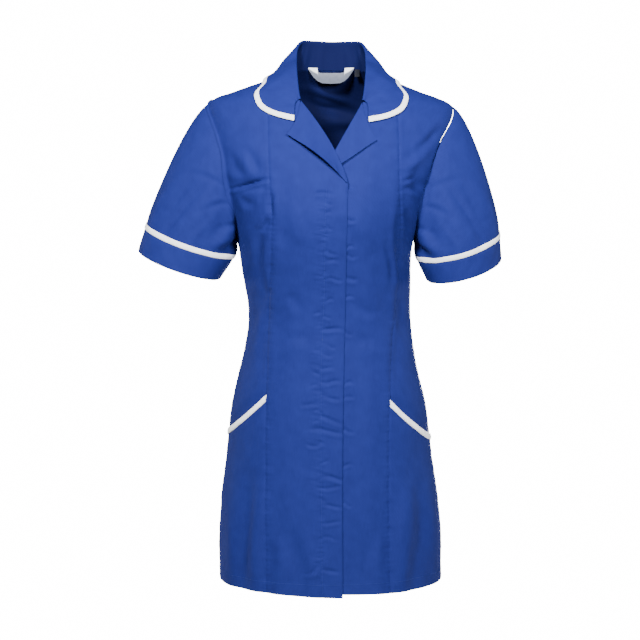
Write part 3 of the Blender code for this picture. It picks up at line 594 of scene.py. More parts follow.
# Cotton bias tape, plain woven and bleached: matt, with fine threads at 45 degrees
tapeLook = {"deep": "#f3f5fa", "light": "#ffffff", "wale": 1.6, "waleTurn": 45, "waleShare": 0.25,
            "slub": (1.0, 8.0), "slubShare": 0.3, "mottle": 9.0, "mottleShare": 0.45,
            "bump": 0.3, "roughness": 0.7, "specular": 0.4, "sheen": 0.4}
biasTape = clothMaterial("wovenBiasTape", tapeLook)

# Polyester satin label tape: smoother, with fine ribs across it
labelLook = {"deep": "#373c4b", "light": "#777d8d", "reverse": "#f2f5fb", "wale": 1.2,
             "waleTurn": 90, "waleShare": 0.3, "slub": (6.0, 0.8), "slubShare": 0.3,
             "mottle": 7.0, "mottleShare": 0.4, "bump": 0.25, "roughness": 0.5,
             "specular": 0.5, "sheen": 0.1}
labelTape = clothMaterial("wovenLabelTape", labelLook)
darkTape = clothMaterial("wovenDarkTape", {
    **labelLook, "deep": "#05070f", "light": "#0d1224", "reverse": "#05070f"})

# Spun polyester sewing thread, a shade lighter than the twill, and a white one. Its twist is drawn.
threadLook = {"deep": "#0e1a5a", "light": "#21317e", "wale": 0.7, "waleTurn": 40, "waleShare": 0.6,
              "slub": (1.0, 1.0), "slubShare": 0.2, "mottle": 9.0, "mottleShare": 0.2,
              "bump": 0.3, "roughness": 0.6, "specular": 0.2, "sheen": 0.2}
threadOf = {"royal_blue_twill": clothMaterial("spunBlueThread", threadLook),
            "white_binding": clothMaterial("spunWhiteThread", {
                **threadLook, "deep": "#c9cfdb", "light": "#ffffff"})}
clothOf = {"royal_blue_twill": twill, "white_binding": biasTape, "white_label": labelTape,
           "navy_label": darkTape}
print("materials made")


# Side fronts and pockets
pocketCut = {
    "mouth": table(
        "way    right  left",
        (0,     -483,  -487),
        (0.35,  -514,  -519),
        (0.7,   -538,  -543),
        (1,     -549,  -552)),
    "tuck": 2.2,          # how far the side front lies behind the pocket front
    "tuckFades": (4, 26),
    "underlap": 14.0,
    "bindingDrop": 10.2,
    "bindingWall": 1.5,
    "crown": (0.75, 2.0),
    "crinkle": 0.14,
    "rows": 96,
    "rowsBelow": 80,      # of the side front, below the underarm
    "columns": 40,
    "close": 0.03,        # columns are closer in this share of the width at both ends
}
# Every binding is a folded tape with ten rows of points. Its stitches lie 1.2 and 7.8 rows up.
bindingMade = {"slot": "white_binding", "held": "folded", "tape": True, "stitched": (1.2, 7.8)}
# How deep the armhole seam draws the cloth in, and how much more from one depth below the neck to
# another; then how far beside it its stitches lie, and how they dip
armholeSink = {
    "dip": 0.7,
    "more": ((2.5, 10, 55), (3.4, 115, 170)),
    "reach": 1.8,
    "aside": 3.6,
    "stitchDip": 0.5,
    "stitchReach": 0.9,
}
armRows = 110
armSteps = steps(0, armRows, 1)


def between(u, v, first, second):  # across a panel, from the angles and heights of its two edges
    share = np.linspace(0, 1, len(first[0]))
    return [mix(np.interp(v, share, a), np.interp(v, share, b), u) for a, b in zip(first, second)]


def crownAt(share, edge, middle):  # a binding's rounded section
    return edge + (middle - edge) * (1 - np.abs(2 * share - 1)**3)


def mouthAt(way, side):
    return curve(way, pocketCut["mouth"]["way"], pocketCut["mouth"][hand(side)])


def seamRows(side):
    share = (armhole(armSteps, "front")[1] - bodyCut["underarm"]) \
        / (bodyCut["shoulder"] - bodyCut["underarm"])
    return mix(bodyCut["underarm"], seamTop(side), share)


def closeRows(cut):  # even steps across a panel, with closer ones by both ends
    near = cut["close"]
    return np.concatenate([[0, near * 0.3, near * 0.62], np.linspace(near, 1 - near, cut["columns"]),
                           [1 - near * 0.62, 1 - near * 0.3, 1]])


def armholeDip(grid, distance, rows):  # the cloth is drawn in along the armhole seam
    deep = armholeSink["dip"]
    for more, start, end in armholeSink["more"]:
        deep = deep + more * ease(-grid[..., 2], start, end)
    dip = swell(distance, deep, 0, armholeSink["reach"])
    dip += swell(distance, armholeSink["stitchDip"], armholeSink["aside"], armholeSink["stitchReach"])
    return lifted(grid, gridNormals(grid, False), -dip * rows)


def hemWall(place):
    start = bodyCut["hem"] + bodyCut["hemTurn"]
    return mix(bodyCut["hemWall"], bodyCut["wall"], ease(place[..., 2], start, start + bodyCut["hemSoft"]))


def hemRow(height):
    return rowAt(height, bodyCut["hem"] + bodyCut["hemLine"])


def sideFront(side):
    outerAngle, outerHeight = armhole(armSteps, "front")
    count = pocketCut["rowsBelow"]
    below = lambda level: np.concatenate([[level - pocketCut["underlap"]],
                                          steps(level, count, bodyCut["underarm"])[:-1]])
    outerHeight = np.concatenate([below(mouthAt(1, side)), outerHeight])
    outerAngle = np.concatenate([np.full(count + 1, 90.0), outerAngle])
    innerHeight = np.concatenate([below(mouthAt(0, side)), seamRows(side)])
    innerAngle = panelSeamAngle(innerHeight, side)
    innerAngle[-1] = 90
    u, v = lattice(closeRows(pocketCut), np.linspace(0, 1, len(outerHeight)))
    angle, height = between(u, v, (innerAngle, innerHeight), (outerAngle, outerHeight))
    place, normal = bodyCloth(side * angle, height)
    start, end = [mouthAt(u, side) + more for more in pocketCut["tuckFades"]]
    place = lifted(place, normal, -pocketCut["tuck"] * (1 - ease(height, start, end)))
    distance = arcLength(place[::-1], 0)[::-1]
    place = armholeDip(place, distance, ease(v, (count - 1) / v.shape[1], (count + 4) / v.shape[1]))
    makeCloth(f"side_front_{hand(side)}", place, out=side)


def pocketFront(side):
    u, v = lattice(closeRows(pocketCut), steps(0, pocketCut["rows"], 1))
    height = mix(bodyCut["hem"], mouthAt(u, side) - 1, v)
    place = bodyCloth(side * mix(panelSeamAngle(height, side), 90, u), height)[0]
    makeCloth(f"pocket_front_{hand(side)}", place, wall=hemWall(place), out=side, seam="hem",
              stitched=[hemRow(height)])


def pocketBinding(side):
    u, v = lattice(steps(0.003, 70, 0.997), steps(0, 9, 1))
    height = mouthAt(u, side) + 0.3 - mix(pocketCut["bindingDrop"], 0, v)
    place, normal = bodyCloth(side * mix(panelSeamAngle(height, side), 90, u), height)
    crown = crownAt(v, *pocketCut["crown"]) + pocketCut["crinkle"] * ripple(u * 16, 21 + side)
    makeCloth(f"pocket_binding_{hand(side)}", lifted(place, normal, crown),
              wall=pocketCut["bindingWall"], out=side, seam="pocketBinding", **bindingMade)


for side in (-1, 1):
    sideFront(side)
    pocketFront(side)
    pocketBinding(side)
print("side fronts and pockets made")


# Fronts: the wearer's right one laps over the left one and hides the fasteners
frontCut = {
    "lap": table(
        "height  right  left",
        (-778,   17,    20),
        (-573,   16.5,  20),
        (-320,   21,    20),
        (-160,   24,    20)),
    "hem": {"right": -781.0, "left": -775.0},
    "break": -160.0,
    "rollTop": (46.0, -44.0),
    "rollInset": 2.4,
    "notch": -60.0,
    "lapDepth": 2.3,          # how far the lower front lies behind the upper one,
    "lapEnds": (25, 62),      # up to where, sideways,
    "breakDepth": 3.4,        # how much more where the revers turn back
    "breakFrom": (-185, -150),
    "hiddenDepth": 2.8,       # and how much more where the lap hides it
    "hiddenEnds": (10, 23),
    "placketWall": 1.9,
    "placketWidth": (28, 33),      # this far from the edge its wall thins to the cloth's own
    "placketFrom": (165, 185),     # this far below the neck its stitched line begins
    "placketValley": (-0.9, 0, 2.4),
    "placketWander": 0.9,
    "placketCrinkle": (0.45, 0.3),
    "edgeSoft": 0.7,          # the folded edge is rounded
    "edgeReach": 1.6,
    "edgeFades": 12.0,        # below the place where the revers turn back
    "edgeGap": 1.5,
    "pucker": 1.35,           # how much of the tables' depths shows
    "placketLine": table(   # the stitched line that holds the concealed placket
        "height  x",
        (-778,   -13),
        (-734,   -14),
        (-560,   -15.5),
        (-430,   -15),
        (-330,   -11),
        (-200,   -9),
        (-150,   -6)),
    # Puckers that the placket's stitches pull: from one end to the other, width and depth
    "puckers": table(
        "x0    z0      x1     z1     width  height",
        (-24,  -177,   5,     -180,  2.6,   -1.3),
        (-10,  -190,   2,     -193,  2.2,   -0.9),
        (-9,   -204,   1,     -207,  2.2,   -0.7),
        (-9,   -226,   2,     -229,  2.4,   -0.8),
        (-13,  -258,   10,    -268,  3.0,   -0.9),
        (-11,  -276,   12,    -279,  3.0,   -1.0),
        (-6,   -304,   19,    -306,  2.4,   -0.9),
        (-13,  -336,   4,     -337,  2.4,   -0.8),
        (-28,  -357,   -14,   -358,  2.4,   -0.8),
        (-13,  -361,   1,     -362,  2.2,   -0.8),
        (-16,  -377,   22,    -384,  3.0,   -1.5),
        (-13,  -405,   8,     -407,  2.4,   -0.8),
        (-17,  -417,   3,     -419,  2.4,   -0.9),
        (-19,  -438,   6,     -440,  2.6,   -1.1),
        (-32,  -445,   -15,   -445,  2.4,   -0.9),
        (-18,  -457,   15,    -460,  2.8,   -1.2),
        (-32,  -464,   -18,   -464,  2.2,   -0.8),
        (-18,  -481,   15,    -483,  2.8,   -1.2),
        (-48,  -490,   -18,   -494,  3.0,   -0.9),
        (-27,  -501,   -12,   -502,  2.2,   -0.8),
        (-20,  -509,   21,    -520,  3.0,   -1.3),
        (-29,  -516,   -17,   -517,  2.2,   -0.8),
        (-35,  -530,   22,    -533,  3.0,   -1.4),
        (-38,  -552,   -8,    -552,  2.6,   -0.9),
        (-18,  -577,   -4,    -578,  2.2,   -0.8),
        (-14,  -600,   22,    -603,  3.0,   -1.5),
        (-20,  -614,   17,    -616,  2.6,   -1.0),
        (-24,  -634,   -7,    -634,  2.4,   -0.8),
        (-17,  -642,   19,    -644,  2.6,   -1.0),
        (-16,  -666,   17,    -668,  2.6,   -0.9),
        (-16,  -690,   12,    -692,  2.6,   -0.8),
        (-44,  -748,   -15,   -732,  3.0,   -1.1),
        (-18,  -733,   14,    -745,  3.0,   -1.1)),
    # The same on the left front, beside the edge that lies over it
    "underPuckers": table(
        "x0    z0      x1     z1     width  height",
        (18,   -168,   40,    -172,  3.0,   -1.1),
        (18,   -214,   37,    -217,  2.8,   -1.0),
        (18,   -256,   36,    -259,  2.6,   -0.9),
        (18,   -270,   38,    -272,  2.6,   -1.0),
        (16,   -300,   40,    -306,  3.2,   -1.2),
        (16,   -332,   36,    -335,  2.6,   -0.9),
        (16,   -386,   34,    -388,  2.6,   -0.8),
        (14,   -459,   34,    -462,  2.8,   -1.0),
        (14,   -482,   36,    -484,  2.6,   -0.9),
        (14,   -529,   36,    -533,  2.8,   -1.0),
        (14,   -581,   34,    -584,  2.8,   -0.9),
        (14,   -640,   32,    -642,  2.8,   -0.8)),
    "columns": np.concatenate([[0, 0.006, 0.014], steps(0.03, 57, 0.96), [0.972, 0.983, 0.992, 1]]),
    "rows": (190, 150),       # below the pocket mouth, and from there to the underarm
}
reversCut = {
    "right": {"start": (-21.5, -161.5), "bend": (4, -132), "tip": (66, -94.5), "notch": (53, -73),
              "lift": 9.0, "bow": 8.5, "from": 0.0},
    "left": {"start": (-17, -153), "bend": (26, -126), "tip": (67, -100), "notch": (54, -75),
             "lift": 2.0, "bow": 1.5, "from": 0.12},
    "fold": 1.3,         # the radius of the fold
    "rest": 1.75,        # how far above the front it lies
    "wall": 1.2,
    "turned": 0.25,      # the share of the rows that goes round the fold
    "crinkle": 0.35,
}


def lapAt(height, side):
    return -curve(height, frontCut["lap"]["height"], frontCut["lap"][hand(side)])


def rollLine(side, u):
    low, top = frontCut["break"], frontCut["rollTop"]
    bow = reversCut[hand(side)]["bow"] * 4 * u * (1 - u)
    return mix(lapAt(low, side), top[0], u) - bow, mix(low, top[1], u)


def puckerHeight(x, z, rows):
    total = np.zeros(x.shape)
    for number, (x0, z0, x1, z1, width, height) in enumerate(zip(*rows.values())):
        along, aside = besideLine(x, z, x0, z0, x1, z1)
        aside = aside / width + 0.8 * np.sin(along * (3 + number % 4) + number * 2.3)
        ends = np.sin(np.pi * np.clip(along, 0, 1)**(0.6 + number * 0.7 % 1))**0.8
        total += frontCut["pucker"] * height * ends * crossCrease(aside, 0.5, 1.9)
    return total


def lapDepthAt(x, z):
    deep = frontCut["lapDepth"] + frontCut["breakDepth"] * ease(z, *frontCut["breakFrom"])
    return deep * (1 - ease(x, *frontCut["lapEnds"]))


def frontFace(side, angle, height):
    place, normal = bodyCloth(angle, height)
    x, z = place[..., 0], place[..., 2]
    if side > 0:
        depth = lapDepthAt(x, z) + frontCut["hiddenDepth"] * (1 - ease(x, *frontCut["hiddenEnds"]))
        rise = puckerHeight(x, z, frontCut["underPuckers"]) - depth
    else:
        line = frontCut["placketLine"]
        away = x - np.interp(z, line["height"], line["x"]) + frontCut["placketWander"] * ripple(z / 17, 31)
        below = ease(-z, *frontCut["placketFrom"])
        valley = swell(away, *frontCut["placketValley"]) * (0.75 + 0.35 * ripple(z / 11, 32))
        wide, fine = frontCut["placketCrinkle"]
        crinkle = wide * ripple(z / 7.5 + x / 30, 33) + fine * ripple(z / 4.2 - x / 25, 34)
        crinkle = crinkle * np.exp(-np.abs(away + 3) / 8) * (0.8 + 0.5 * ripple(z / 60, 35))
        rise = puckerHeight(x, z, frontCut["puckers"]) + (valley + crinkle) * below
    return lifted(place, normal, rise), normal


def front(side):
    mouth = mouthAt(0, side)
    low, middle = frontCut["rows"]
    innerHeight = np.concatenate([
        steps(bodyCut["hem"], low, mouth, middle, bodyCut["underarm"])[:-1], seamRows(side)])
    innerAngle = panelSeamAngle(innerHeight, side)
    innerAngle[-1] = 90
    turn = int(np.argmin(np.abs(innerHeight - frontCut["break"])))
    notch = int(np.argmin(np.abs(innerHeight - frontCut["notch"])))
    roll = steps(0, notch - turn, 1)
    step = steps(1.0, len(innerHeight) - 1 - notch, 0.53)[1:]
    straight = steps(frontCut["hem"][hand(side)], turn - 1, frontCut["break"] - frontCut["edgeGap"])
    rollX, rollHeight = rollLine(side, roll)
    edgeX = np.concatenate([lapAt(straight, side), rollX + frontCut["rollInset"], np.zeros(len(step))])
    edgeHeight = np.concatenate([
        straight, rollHeight, curve(step, collarCut["step"], collarCut["seamZ"])])
    edgeAngle = side * angleAt(side * edgeX, edgeHeight)
    edgeAngle[notch + 1:] = curve(step, collarCut["step"], collarCut["seamAngle"])
    u, v = lattice(frontCut["columns"], np.linspace(0, 1, len(edgeHeight)))
    angle, height = between(u, v, (edgeAngle, edgeHeight), (innerAngle, innerHeight))
    place, normal = frontFace(side, side * angle, height)
    fromEdge = arcLength(place, 0)
    below = 1 - ease(height, frontCut["break"] - frontCut["edgeFades"], frontCut["break"])
    soft = swell(fromEdge, frontCut["edgeSoft"], 0, frontCut["edgeReach"]) * below
    place = lifted(place, normal, -soft)
    band = (1 - ease(fromEdge, *frontCut["placketWidth"])) * below
    wall = np.maximum(hemWall(place), mix(bodyCut["wall"], frontCut["placketWall"] - soft, band))
    makeCloth(f"front_{hand(side)}", place, wall=wall, out=side, seam="hem",
              stitched=[hemRow(height)])


# Collar, from the middle of the back (0) to its front end (1)
collarCut = table(
    "step  seamAngle  seamZ  rollX  rollY  rollZ  edgeAngle  edgeZ",
    (0,     180,       0,     0,     61,    44,    180,       -20),
    (0.17,  149.3,     0,     27,    58,    45,    153,       -20),
    (0.34,  123.8,     0,     47,    46,    43,    125,       -17),
    (0.45,  103,       0,     52,    29,    30,    101,       -13.5),
    (0.53,  90,        0,     52.5,  14,    17,    90,        -14),
    (0.62,  74.6,      -6,    52.5,  -13,   9,     77,        -22),
    (0.74,  55.4,      -22,   51,    -37,   -9,    68,        -40),
    (0.84,  45.5,      -33,   49.5,  -50,   -23.5, 58,        -59),
    (0.92,  39.5,      -41,   48,    -58.5, -34,   47,        -69),
    (1,     35.8,      -46.5, 46.5,  -64,   -42,   33,        -75))
collarLook = {"foldRadius": 1.8, "standEnd": 3.0, "clear": 2.5, "belly": 0.05, "binding": 8.0,
              "sunk": 0.75, "handle": 0.33, "fallOut": 0.25, "frontFrom": 0.86,
              "ways": steps(-0.994, 30, -0.6, 56, 0.6, 30, 0.994),
              "across": steps(0.02, 11, 1, 8, 2, 22, 3),
              "crinkle": {"wide": 0.4, "fine": 0.16, "stand": 0.7, "binding": 0.12},
              "wall": 1.2, "bindingWall": 1.6, "crown": (0.85, 1.6)}

for side in (-1, 1):
    front(side)
print("fronts made")


# Back
backCut = {"columns": 110, "close": 0.012, "rowsBelow": 130, "rowsAbove": 22}


def back():
    below = steps(bodyCut["hem"], backCut["rowsBelow"], bodyCut["underarm"])[:-1]
    biteAngle, biteHeight = armhole(armSteps, "back")
    above = steps(bodyCut["shoulder"], backCut["rowsAbove"], 0)[1:]
    edgeHeight = np.concatenate([below, biteHeight, above])
    edgeAngle = np.concatenate([np.full(len(below), 90.0), biteAngle, np.full(len(above), 90.0)])
    u, v = lattice(closeRows(backCut), np.linspace(0, 1, len(edgeHeight)))
    angle, height = between(u, v, (edgeAngle, edgeHeight), (360 - edgeAngle, edgeHeight))
    place = bodyCloth(angle, height)[0]
    first = len(below) / len(edgeHeight)
    last = (len(below) + armRows) / len(edgeHeight)
    rows = ease(v, first - 0.01, first + 0.01) * (1 - ease(v, last - 0.005, last + 0.005))
    distance = np.minimum(arcLength(place, 0), arcLength(place[::-1], 0)[::-1])
    place = armholeDip(place, distance, rows)
    makeCloth("back", place, wall=hemWall(place), seam="hem", stitched=[hemRow(height)])


back()
print("back made")


# Sleeves
sleeveCuts = {
    "right": {"side": -1, "binding": (-212.5, -6, -252), "hem": (-231, -9, -292), "fall": 0.34,
              "bindingHalf": (72, 59), "hemHalf": (66.0, 57), "dip": 7.0, "reach": 95},
    "left": {"side": 1, "binding": (191.5, -10, -259), "hem": (202, -6, -299), "fall": 0.27,
             "bindingHalf": (66.5, 60), "hemHalf": (59.5, 58), "dip": 12.0, "reach": 80},
}
sleeveShared = {
    "binding": 8.0,
    "bindingWall": 1.5,
    "crown": (0.2, 1.2),
    "cuff": 35.0,
    "cuffWall": 1.7,
    "sunk": 2.2,       # how far the sleeve starts in behind the body's edge
    "sunkTop": 0.4,    # the same at the point of the shoulder
    # How the sleeve leaves the armhole, at the underarm and at the top: how far out and up, and how
    # strongly at the underarm; then how strongly it is drawn straight at the binding
    "leaveOut": (0.30, 0.84),
    "leaveUp": (-0.95, -0.54),
    "leavePull": 24.0,
    "endPull": (30.0, 140.0),
    "crinkle": {"wide": 0.35, "armhole": 0.55, "binding": 0.15},
    "columns": 168,
    "rows": np.concatenate([[0, 0.006, 0.014], steps(0.025, 66, 1)]),
}
# Folds: where round the sleeve (0 underarm, 0.25 front, 0.5 outer, 0.75 back) and along it
sleeveFolds = table(
    "around  along  width  length  height  lean",
    (0.36,   0.75,  0.045, 0.50,   -3.6,   0),
    (0.27,   0.70,  0.040, 0.55,   2.4,    0),
    (0.17,   0.75,  0.035, 0.45,   -2.6,   0),
    (0.45,   0.60,  0.040, 0.50,   1.8,    0),
    (0.64,   0.70,  0.045, 0.50,   -3.2,   0),
    (0.74,   0.75,  0.040, 0.50,   2.6,    0),
    (0.84,   0.75,  0.040, 0.45,   -2.4,   0))
sleeveCreases = table(
    "around  along  width  length  height  lean",
    (0.075,  0.70,  0.036, 0.32,   -8.5,   0.02),
    (0.14,   0.60,  0.022, 0.30,   2.0,    0.03),
    (0.22,   0.30,  0.012, 0.22,   -1.9,   0.05),
    (0.30,   0.22,  0.014, 0.18,   -1.9,   0.07),
    (0.12,   0.28,  0.014, 0.22,   -1.5,   0.04),
    (0.06,   0.45,  0.016, 0.30,   -1.5,   0.00),
    (0.33,   0.62,  0.012, 0.30,   -1.9,   0.02),
    (0.41,   0.55,  0.016, 0.34,   1.0,    0.03),
    (0.24,   0.80,  0.012, 0.26,   1.0,    0.01),
    (0.48,   0.85,  0.018, 0.30,   -1.0,   0.02),
    (0.55,   0.50,  0.020, 0.35,   -1.1,   -0.02),
    (0.70,   0.30,  0.014, 0.22,   -1.4,   -0.06),
    (0.78,   0.24,  0.014, 0.20,   -1.4,   -0.06),
    (0.68,   0.75,  0.014, 0.30,   1.1,    0.00),
    (0.80,   0.70,  0.014, 0.28,   -1.2,   0.01),
    (0.90,   0.35,  0.014, 0.25,   -1.4,   -0.03),
    (0.95,   0.60,  0.016, 0.30,   1.1,    0.00))


def armholeLoop(around, side):
    turn = around % 1.0
    frontAngle, frontHeight = armhole(np.clip(turn * 2, 0, 1), "front")
    backAngle, backHeight = armhole(np.clip(2 - turn * 2, 0, 1), "back")
    angle = np.where(turn <= 0.5, frontAngle, backAngle)
    height = np.where(turn <= 0.5, frontHeight, backHeight)
    place, normal = bodyCloth(side * angle, height)
    top = (0.5 - 0.5 * np.cos(2 * np.pi * turn))**4
    sunk = mix(sleeveShared["sunk"], sleeveShared["sunkTop"], top)
    return lifted(place, normal, -sunk), normal


def sleeveRing(around, sleeve, ring):
    middle = np.array(sleeve[ring], float)
    halfLength, halfDepth = sleeve[ring + "Half"]
    outward = unit(np.array([sleeve["side"], 0.0, sleeve["fall"]]))
    turn = 2 * np.pi * around
    across, forward = -np.cos(turn) * halfLength, np.sin(turn) * halfDepth
    place = middle + across[..., None] * outward
    return place + points(0, -forward, -forward / halfDepth * sleeve["dip"])


def sleevePoint(around, along, sleeve):  # along: 0 at the armhole, 1 at the binding, 2 at the hem
    side = sleeve["side"]
    start, normal = armholeLoop(around, side)
    binding = sleeveRing(around, sleeve, "binding")
    hem = sleeveRing(around, sleeve, "hem")
    turn = 2 * np.pi * (around % 1.0)
    top = (1 - np.cos(turn)) / 2
    leave = points(side * mix(*sleeveShared["leaveOut"], top), -0.25 * np.sin(turn),
                   mix(*sleeveShared["leaveUp"], top))
    leave = unit(leave + 0.25 * normal)
    leavePull = mix(sleeveShared["leavePull"], sleeve["reach"], top)[..., None]
    endPull = mix(*sleeveShared["endPull"], top)[..., None]
    t = np.clip(along, None, 1.0)[..., None]
    place = hermite(t, start, leave * leavePull, binding, unit(hem - binding) * endPull)
    return place + np.clip(along - 1, 0, None)[..., None] * (hem - binding)


def sleeveRelief(around, along, rows, start, ridge):
    total = np.zeros(np.shape(around))
    for middle, deepest, width, length, height, slant in zip(*rows.values()):
        aside = (around - middle - slant * (along - deepest) / length + 0.5) % 1.0 - 0.5
        aside = aside / width + ridge * 0.4 * np.sin(along * 9 + middle * 40)
        total += swell(along, height, deepest, length) * crossCrease(aside, ridge * 0.45, 1.8)
    return total * ease(along, start, start + 0.45)


def sleeveCloth(around, along, sleeve):
    plain = sleevePoint(around, along, sleeve)
    normal = gridNormals(plain, True) * -sleeve["side"]
    rise = sleeveRelief(around, along, sleeveFolds, 0.05, 0)
    rise += sleeveRelief(around, along, sleeveCreases, 0.0, 1) * ease(along, 0, 0.1)
    crinkle = sleeveShared["crinkle"]
    rise += crinkle["wide"] * ripple(around * 9 + along * 0.8, 41) * ease(along, 0.05, 0.3)
    rise += crinkle["armhole"] * ripple(around * 34, 42) * np.exp(-along / 0.07)
    return plain, normal, rise


def sleeve(side):
    cut, whose = sleeveCuts[hand(side)], "_" + hand(side)
    turns = np.linspace(0, 1, sleeveShared["columns"], endpoint=False)
    split = 1 + sleeveShared["binding"] / (sleeveShared["binding"] + sleeveShared["cuff"])

    def makeRound(node, rows, riseAt, sewn, **made):
        around, along = lattice(turns, rows)
        plain, normal, rise = sleeveCloth(around, along, cut)
        rise = rise + riseAt(around, (along - rows[0]) / (rows[-1] - rows[0]))
        makeCloth(node + whose, lifted(plain, normal, rise), around=True, out=-side,
                  restsOn=sewn, **made)

    def bindingRise(around, share):
        crinkle = sleeveShared["crinkle"]["binding"] * ripple(around * 40, 43)
        return crownAt(share, *sleeveShared["crown"]) + crinkle

    def cuffRise(around, share):  # turned in at the binding and at the hem
        return 0.25 - swell(share, 0.6, 0, 0.04) - swell(share, 0.5, 1, 0.03)

    makeRound("sleeve", sleeveShared["rows"], lambda around, share: 0.0, ["side_front" + whose, "back"])
    makeRound("sleeve_binding", steps(1, 9, split), bindingRise, ["sleeve" + whose],
              wall=sleeveShared["bindingWall"], seam="sleeveBinding", **bindingMade)
    makeRound("cuff", steps(split, 18, 2), cuffRise, ["sleeve_binding" + whose],
              wall=sleeveShared["cuffWall"], held="folded")


for side in (-1, 1):
    sleeve(side)
print("sleeves made")


def mirrored(column):  # a collar column from the right front end round the back to the left one
    values = collarCut[column]
    other = -values if column == "rollX" else 360 - values if "Angle" in column else values
    return np.concatenate([other[:0:-1], values])


def collarLines(way):
    knots = np.concatenate([-collarCut["step"][:0:-1], collarCut["step"]])
    read = lambda column: curve(way, knots, mirrored(column))
    seamAngle, seamHeight = read("seamAngle"), read("seamZ")
    seam = bodyPlain(seamAngle, seamHeight) - bodyNormal(seamAngle, seamHeight) * collarLook["sunk"]
    x, z = read("rollX"), read("rollZ")
    roll = points(x, read("rollY"), z - lean(z) * x)
    angle, height = read("edgeAngle"), read("edgeZ")
    normal = bodyNormal(angle, height)
    return seam, roll, bodyPlain(angle, height) + normal * collarLook["clear"], normal


def clearOfBody(place, clear, share):
    height = np.minimum(place[..., 2] + lean(place[..., 2]) * place[..., 0], -0.1)
    angle = np.degrees(np.arctan2(place[..., 0] - body("shift", height), -place[..., 1]))
    normal = bodyNormal(angle, height)
    above = np.sum((place - bodyPlain(angle, height)) * normal, axis=-1, keepdims=True)
    return place + normal * np.maximum(clear - above, 0) * share


def bezier(a, b, c, d, t):
    return (1 - t)**3 * a + 3 * (1 - t)**2 * t * b + 3 * (1 - t) * t**2 * c + t**3 * d


def collarMiddle(way, across):  # 0 neck seam, 1 top of the stand, 2 start of the fall, 3 outer edge
    seam, roll, edge, normal = collarLines(way)
    step = 1e-3
    ahead = unit(collarLines(way + step)[1] - collarLines(way - step)[1])
    down = unit(unit(seam - roll) + unit(edge - roll))
    down = unit(down - ahead * np.sum(down * ahead, axis=-1, keepdims=True))
    out = np.cross(ahead, down)
    radius, handle = collarLook["foldRadius"], collarLook["handle"]
    centre = roll + down * radius
    inside, outside = centre - out * radius, centre + out * radius
    atFront = ease(np.abs(way), collarLook["frontFrom"], 1)[..., None]
    seam = mix(seam, inside + down * collarLook["standEnd"], atFront)
    rise = np.linalg.norm(inside - seam, axis=-1, keepdims=True)
    width = np.linalg.norm(edge - outside, axis=-1, keepdims=True)
    t = across[..., None]
    stand = bezier(seam, mix(seam, inside, handle), inside + down * rise * handle, inside,
                   np.clip(t, None, 1))
    turn = np.pi * np.clip(t - 1, 0, 1)
    fold = centre - radius * (np.cos(turn) * out + np.sin(turn) * down)
    inward = outside - edge
    level = unit(inward - normal * np.sum(inward * normal, axis=-1, keepdims=True))
    first = outside + (down + out * collarLook["fallOut"]) * width * handle
    last = edge + level * width * handle + normal * width * collarLook["belly"]
    tFall = np.clip(t - 2, 0, None)
    fall = bezier(outside, first, last, edge, tFall)
    fall = clearOfBody(fall, collarLook["clear"], ease(tFall, 0, 0.25))
    return np.where(t < 1, stand, np.where(t < 2, fold, fall))


def bindingStart(way):
    seam, roll, edge, normal = collarLines(way)
    return 3 - collarLook["binding"] / (np.linalg.norm(edge - roll, axis=-1) * 0.97)


def collar():
    ways, crinkle, wall = [collarLook[name] for name in ("ways", "crinkle", "wall")]
    way, across = lattice(ways, collarLook["across"])
    across = np.where(across > 2, mix(2, bindingStart(way), across - 2), across)
    middle = collarMiddle(way, across)
    fall, stand = ease(across, 2.0, 2.4), 1 - ease(across, 0.6, 1.0)
    wide = crinkle["wide"] * ripple(way * 5, 51)
    rise = wall / 2 + wide * fall + crinkle["fine"] * ripple(way * 21, 52) * fall
    rise = rise + crinkle["stand"] * ripple(way * 8, 53) * stand * np.exp(-(way / 0.5)**4)
    # The stand and the top of the fold take the twill's reverse colour, which is painted shade for the
    # inside of the neck.
    makeCloth("collar", lifted(middle, gridNormals(middle, False), rise), wall=wall, held="folded",
              restsOn=["back"], reverseAndShadeShare=1 - ease(across, 0.9, 1.7))
    way, share = lattice(ways, steps(0, 9, 1))
    middle = collarMiddle(way, mix(bindingStart(way), 3, share))
    crown = crownAt(share, *collarLook["crown"]) + crinkle["wide"] * ripple(way * 5, 51)
    crown = crown + crinkle["binding"] * ripple(way * 30, 54)
    makeCloth("collar_binding", lifted(middle, gridNormals(middle, False), crown),
              wall=collarLook["bindingWall"], restsOn=["collar"], seam="collarBinding", **bindingMade)


def reversLayout(side, u, share):
    cut, top = reversCut[hand(side)], frontCut["rollTop"]
    reading = lambda i: (
        rollLine(side, u)[i],
        (1 - u)**2 * cut["start"][i] + 2 * u * (1 - u) * cut["bend"][i] + u * u * cut["tip"][i],
        cut["notch"][i] - (top[i] + cut["tip"][i]) / 2)
    (rollX, edgeX, bendX), (rollZ, edgeZ, bendZ) = reading(0), reading(1)
    bulge = 4 * share * (1 - share) * u**2
    width = np.hypot(edgeX - rollX, edgeZ - rollZ)
    return mix(rollX, edgeX, share) + bendX * bulge, mix(rollZ, edgeZ, share) + bendZ * bulge, width


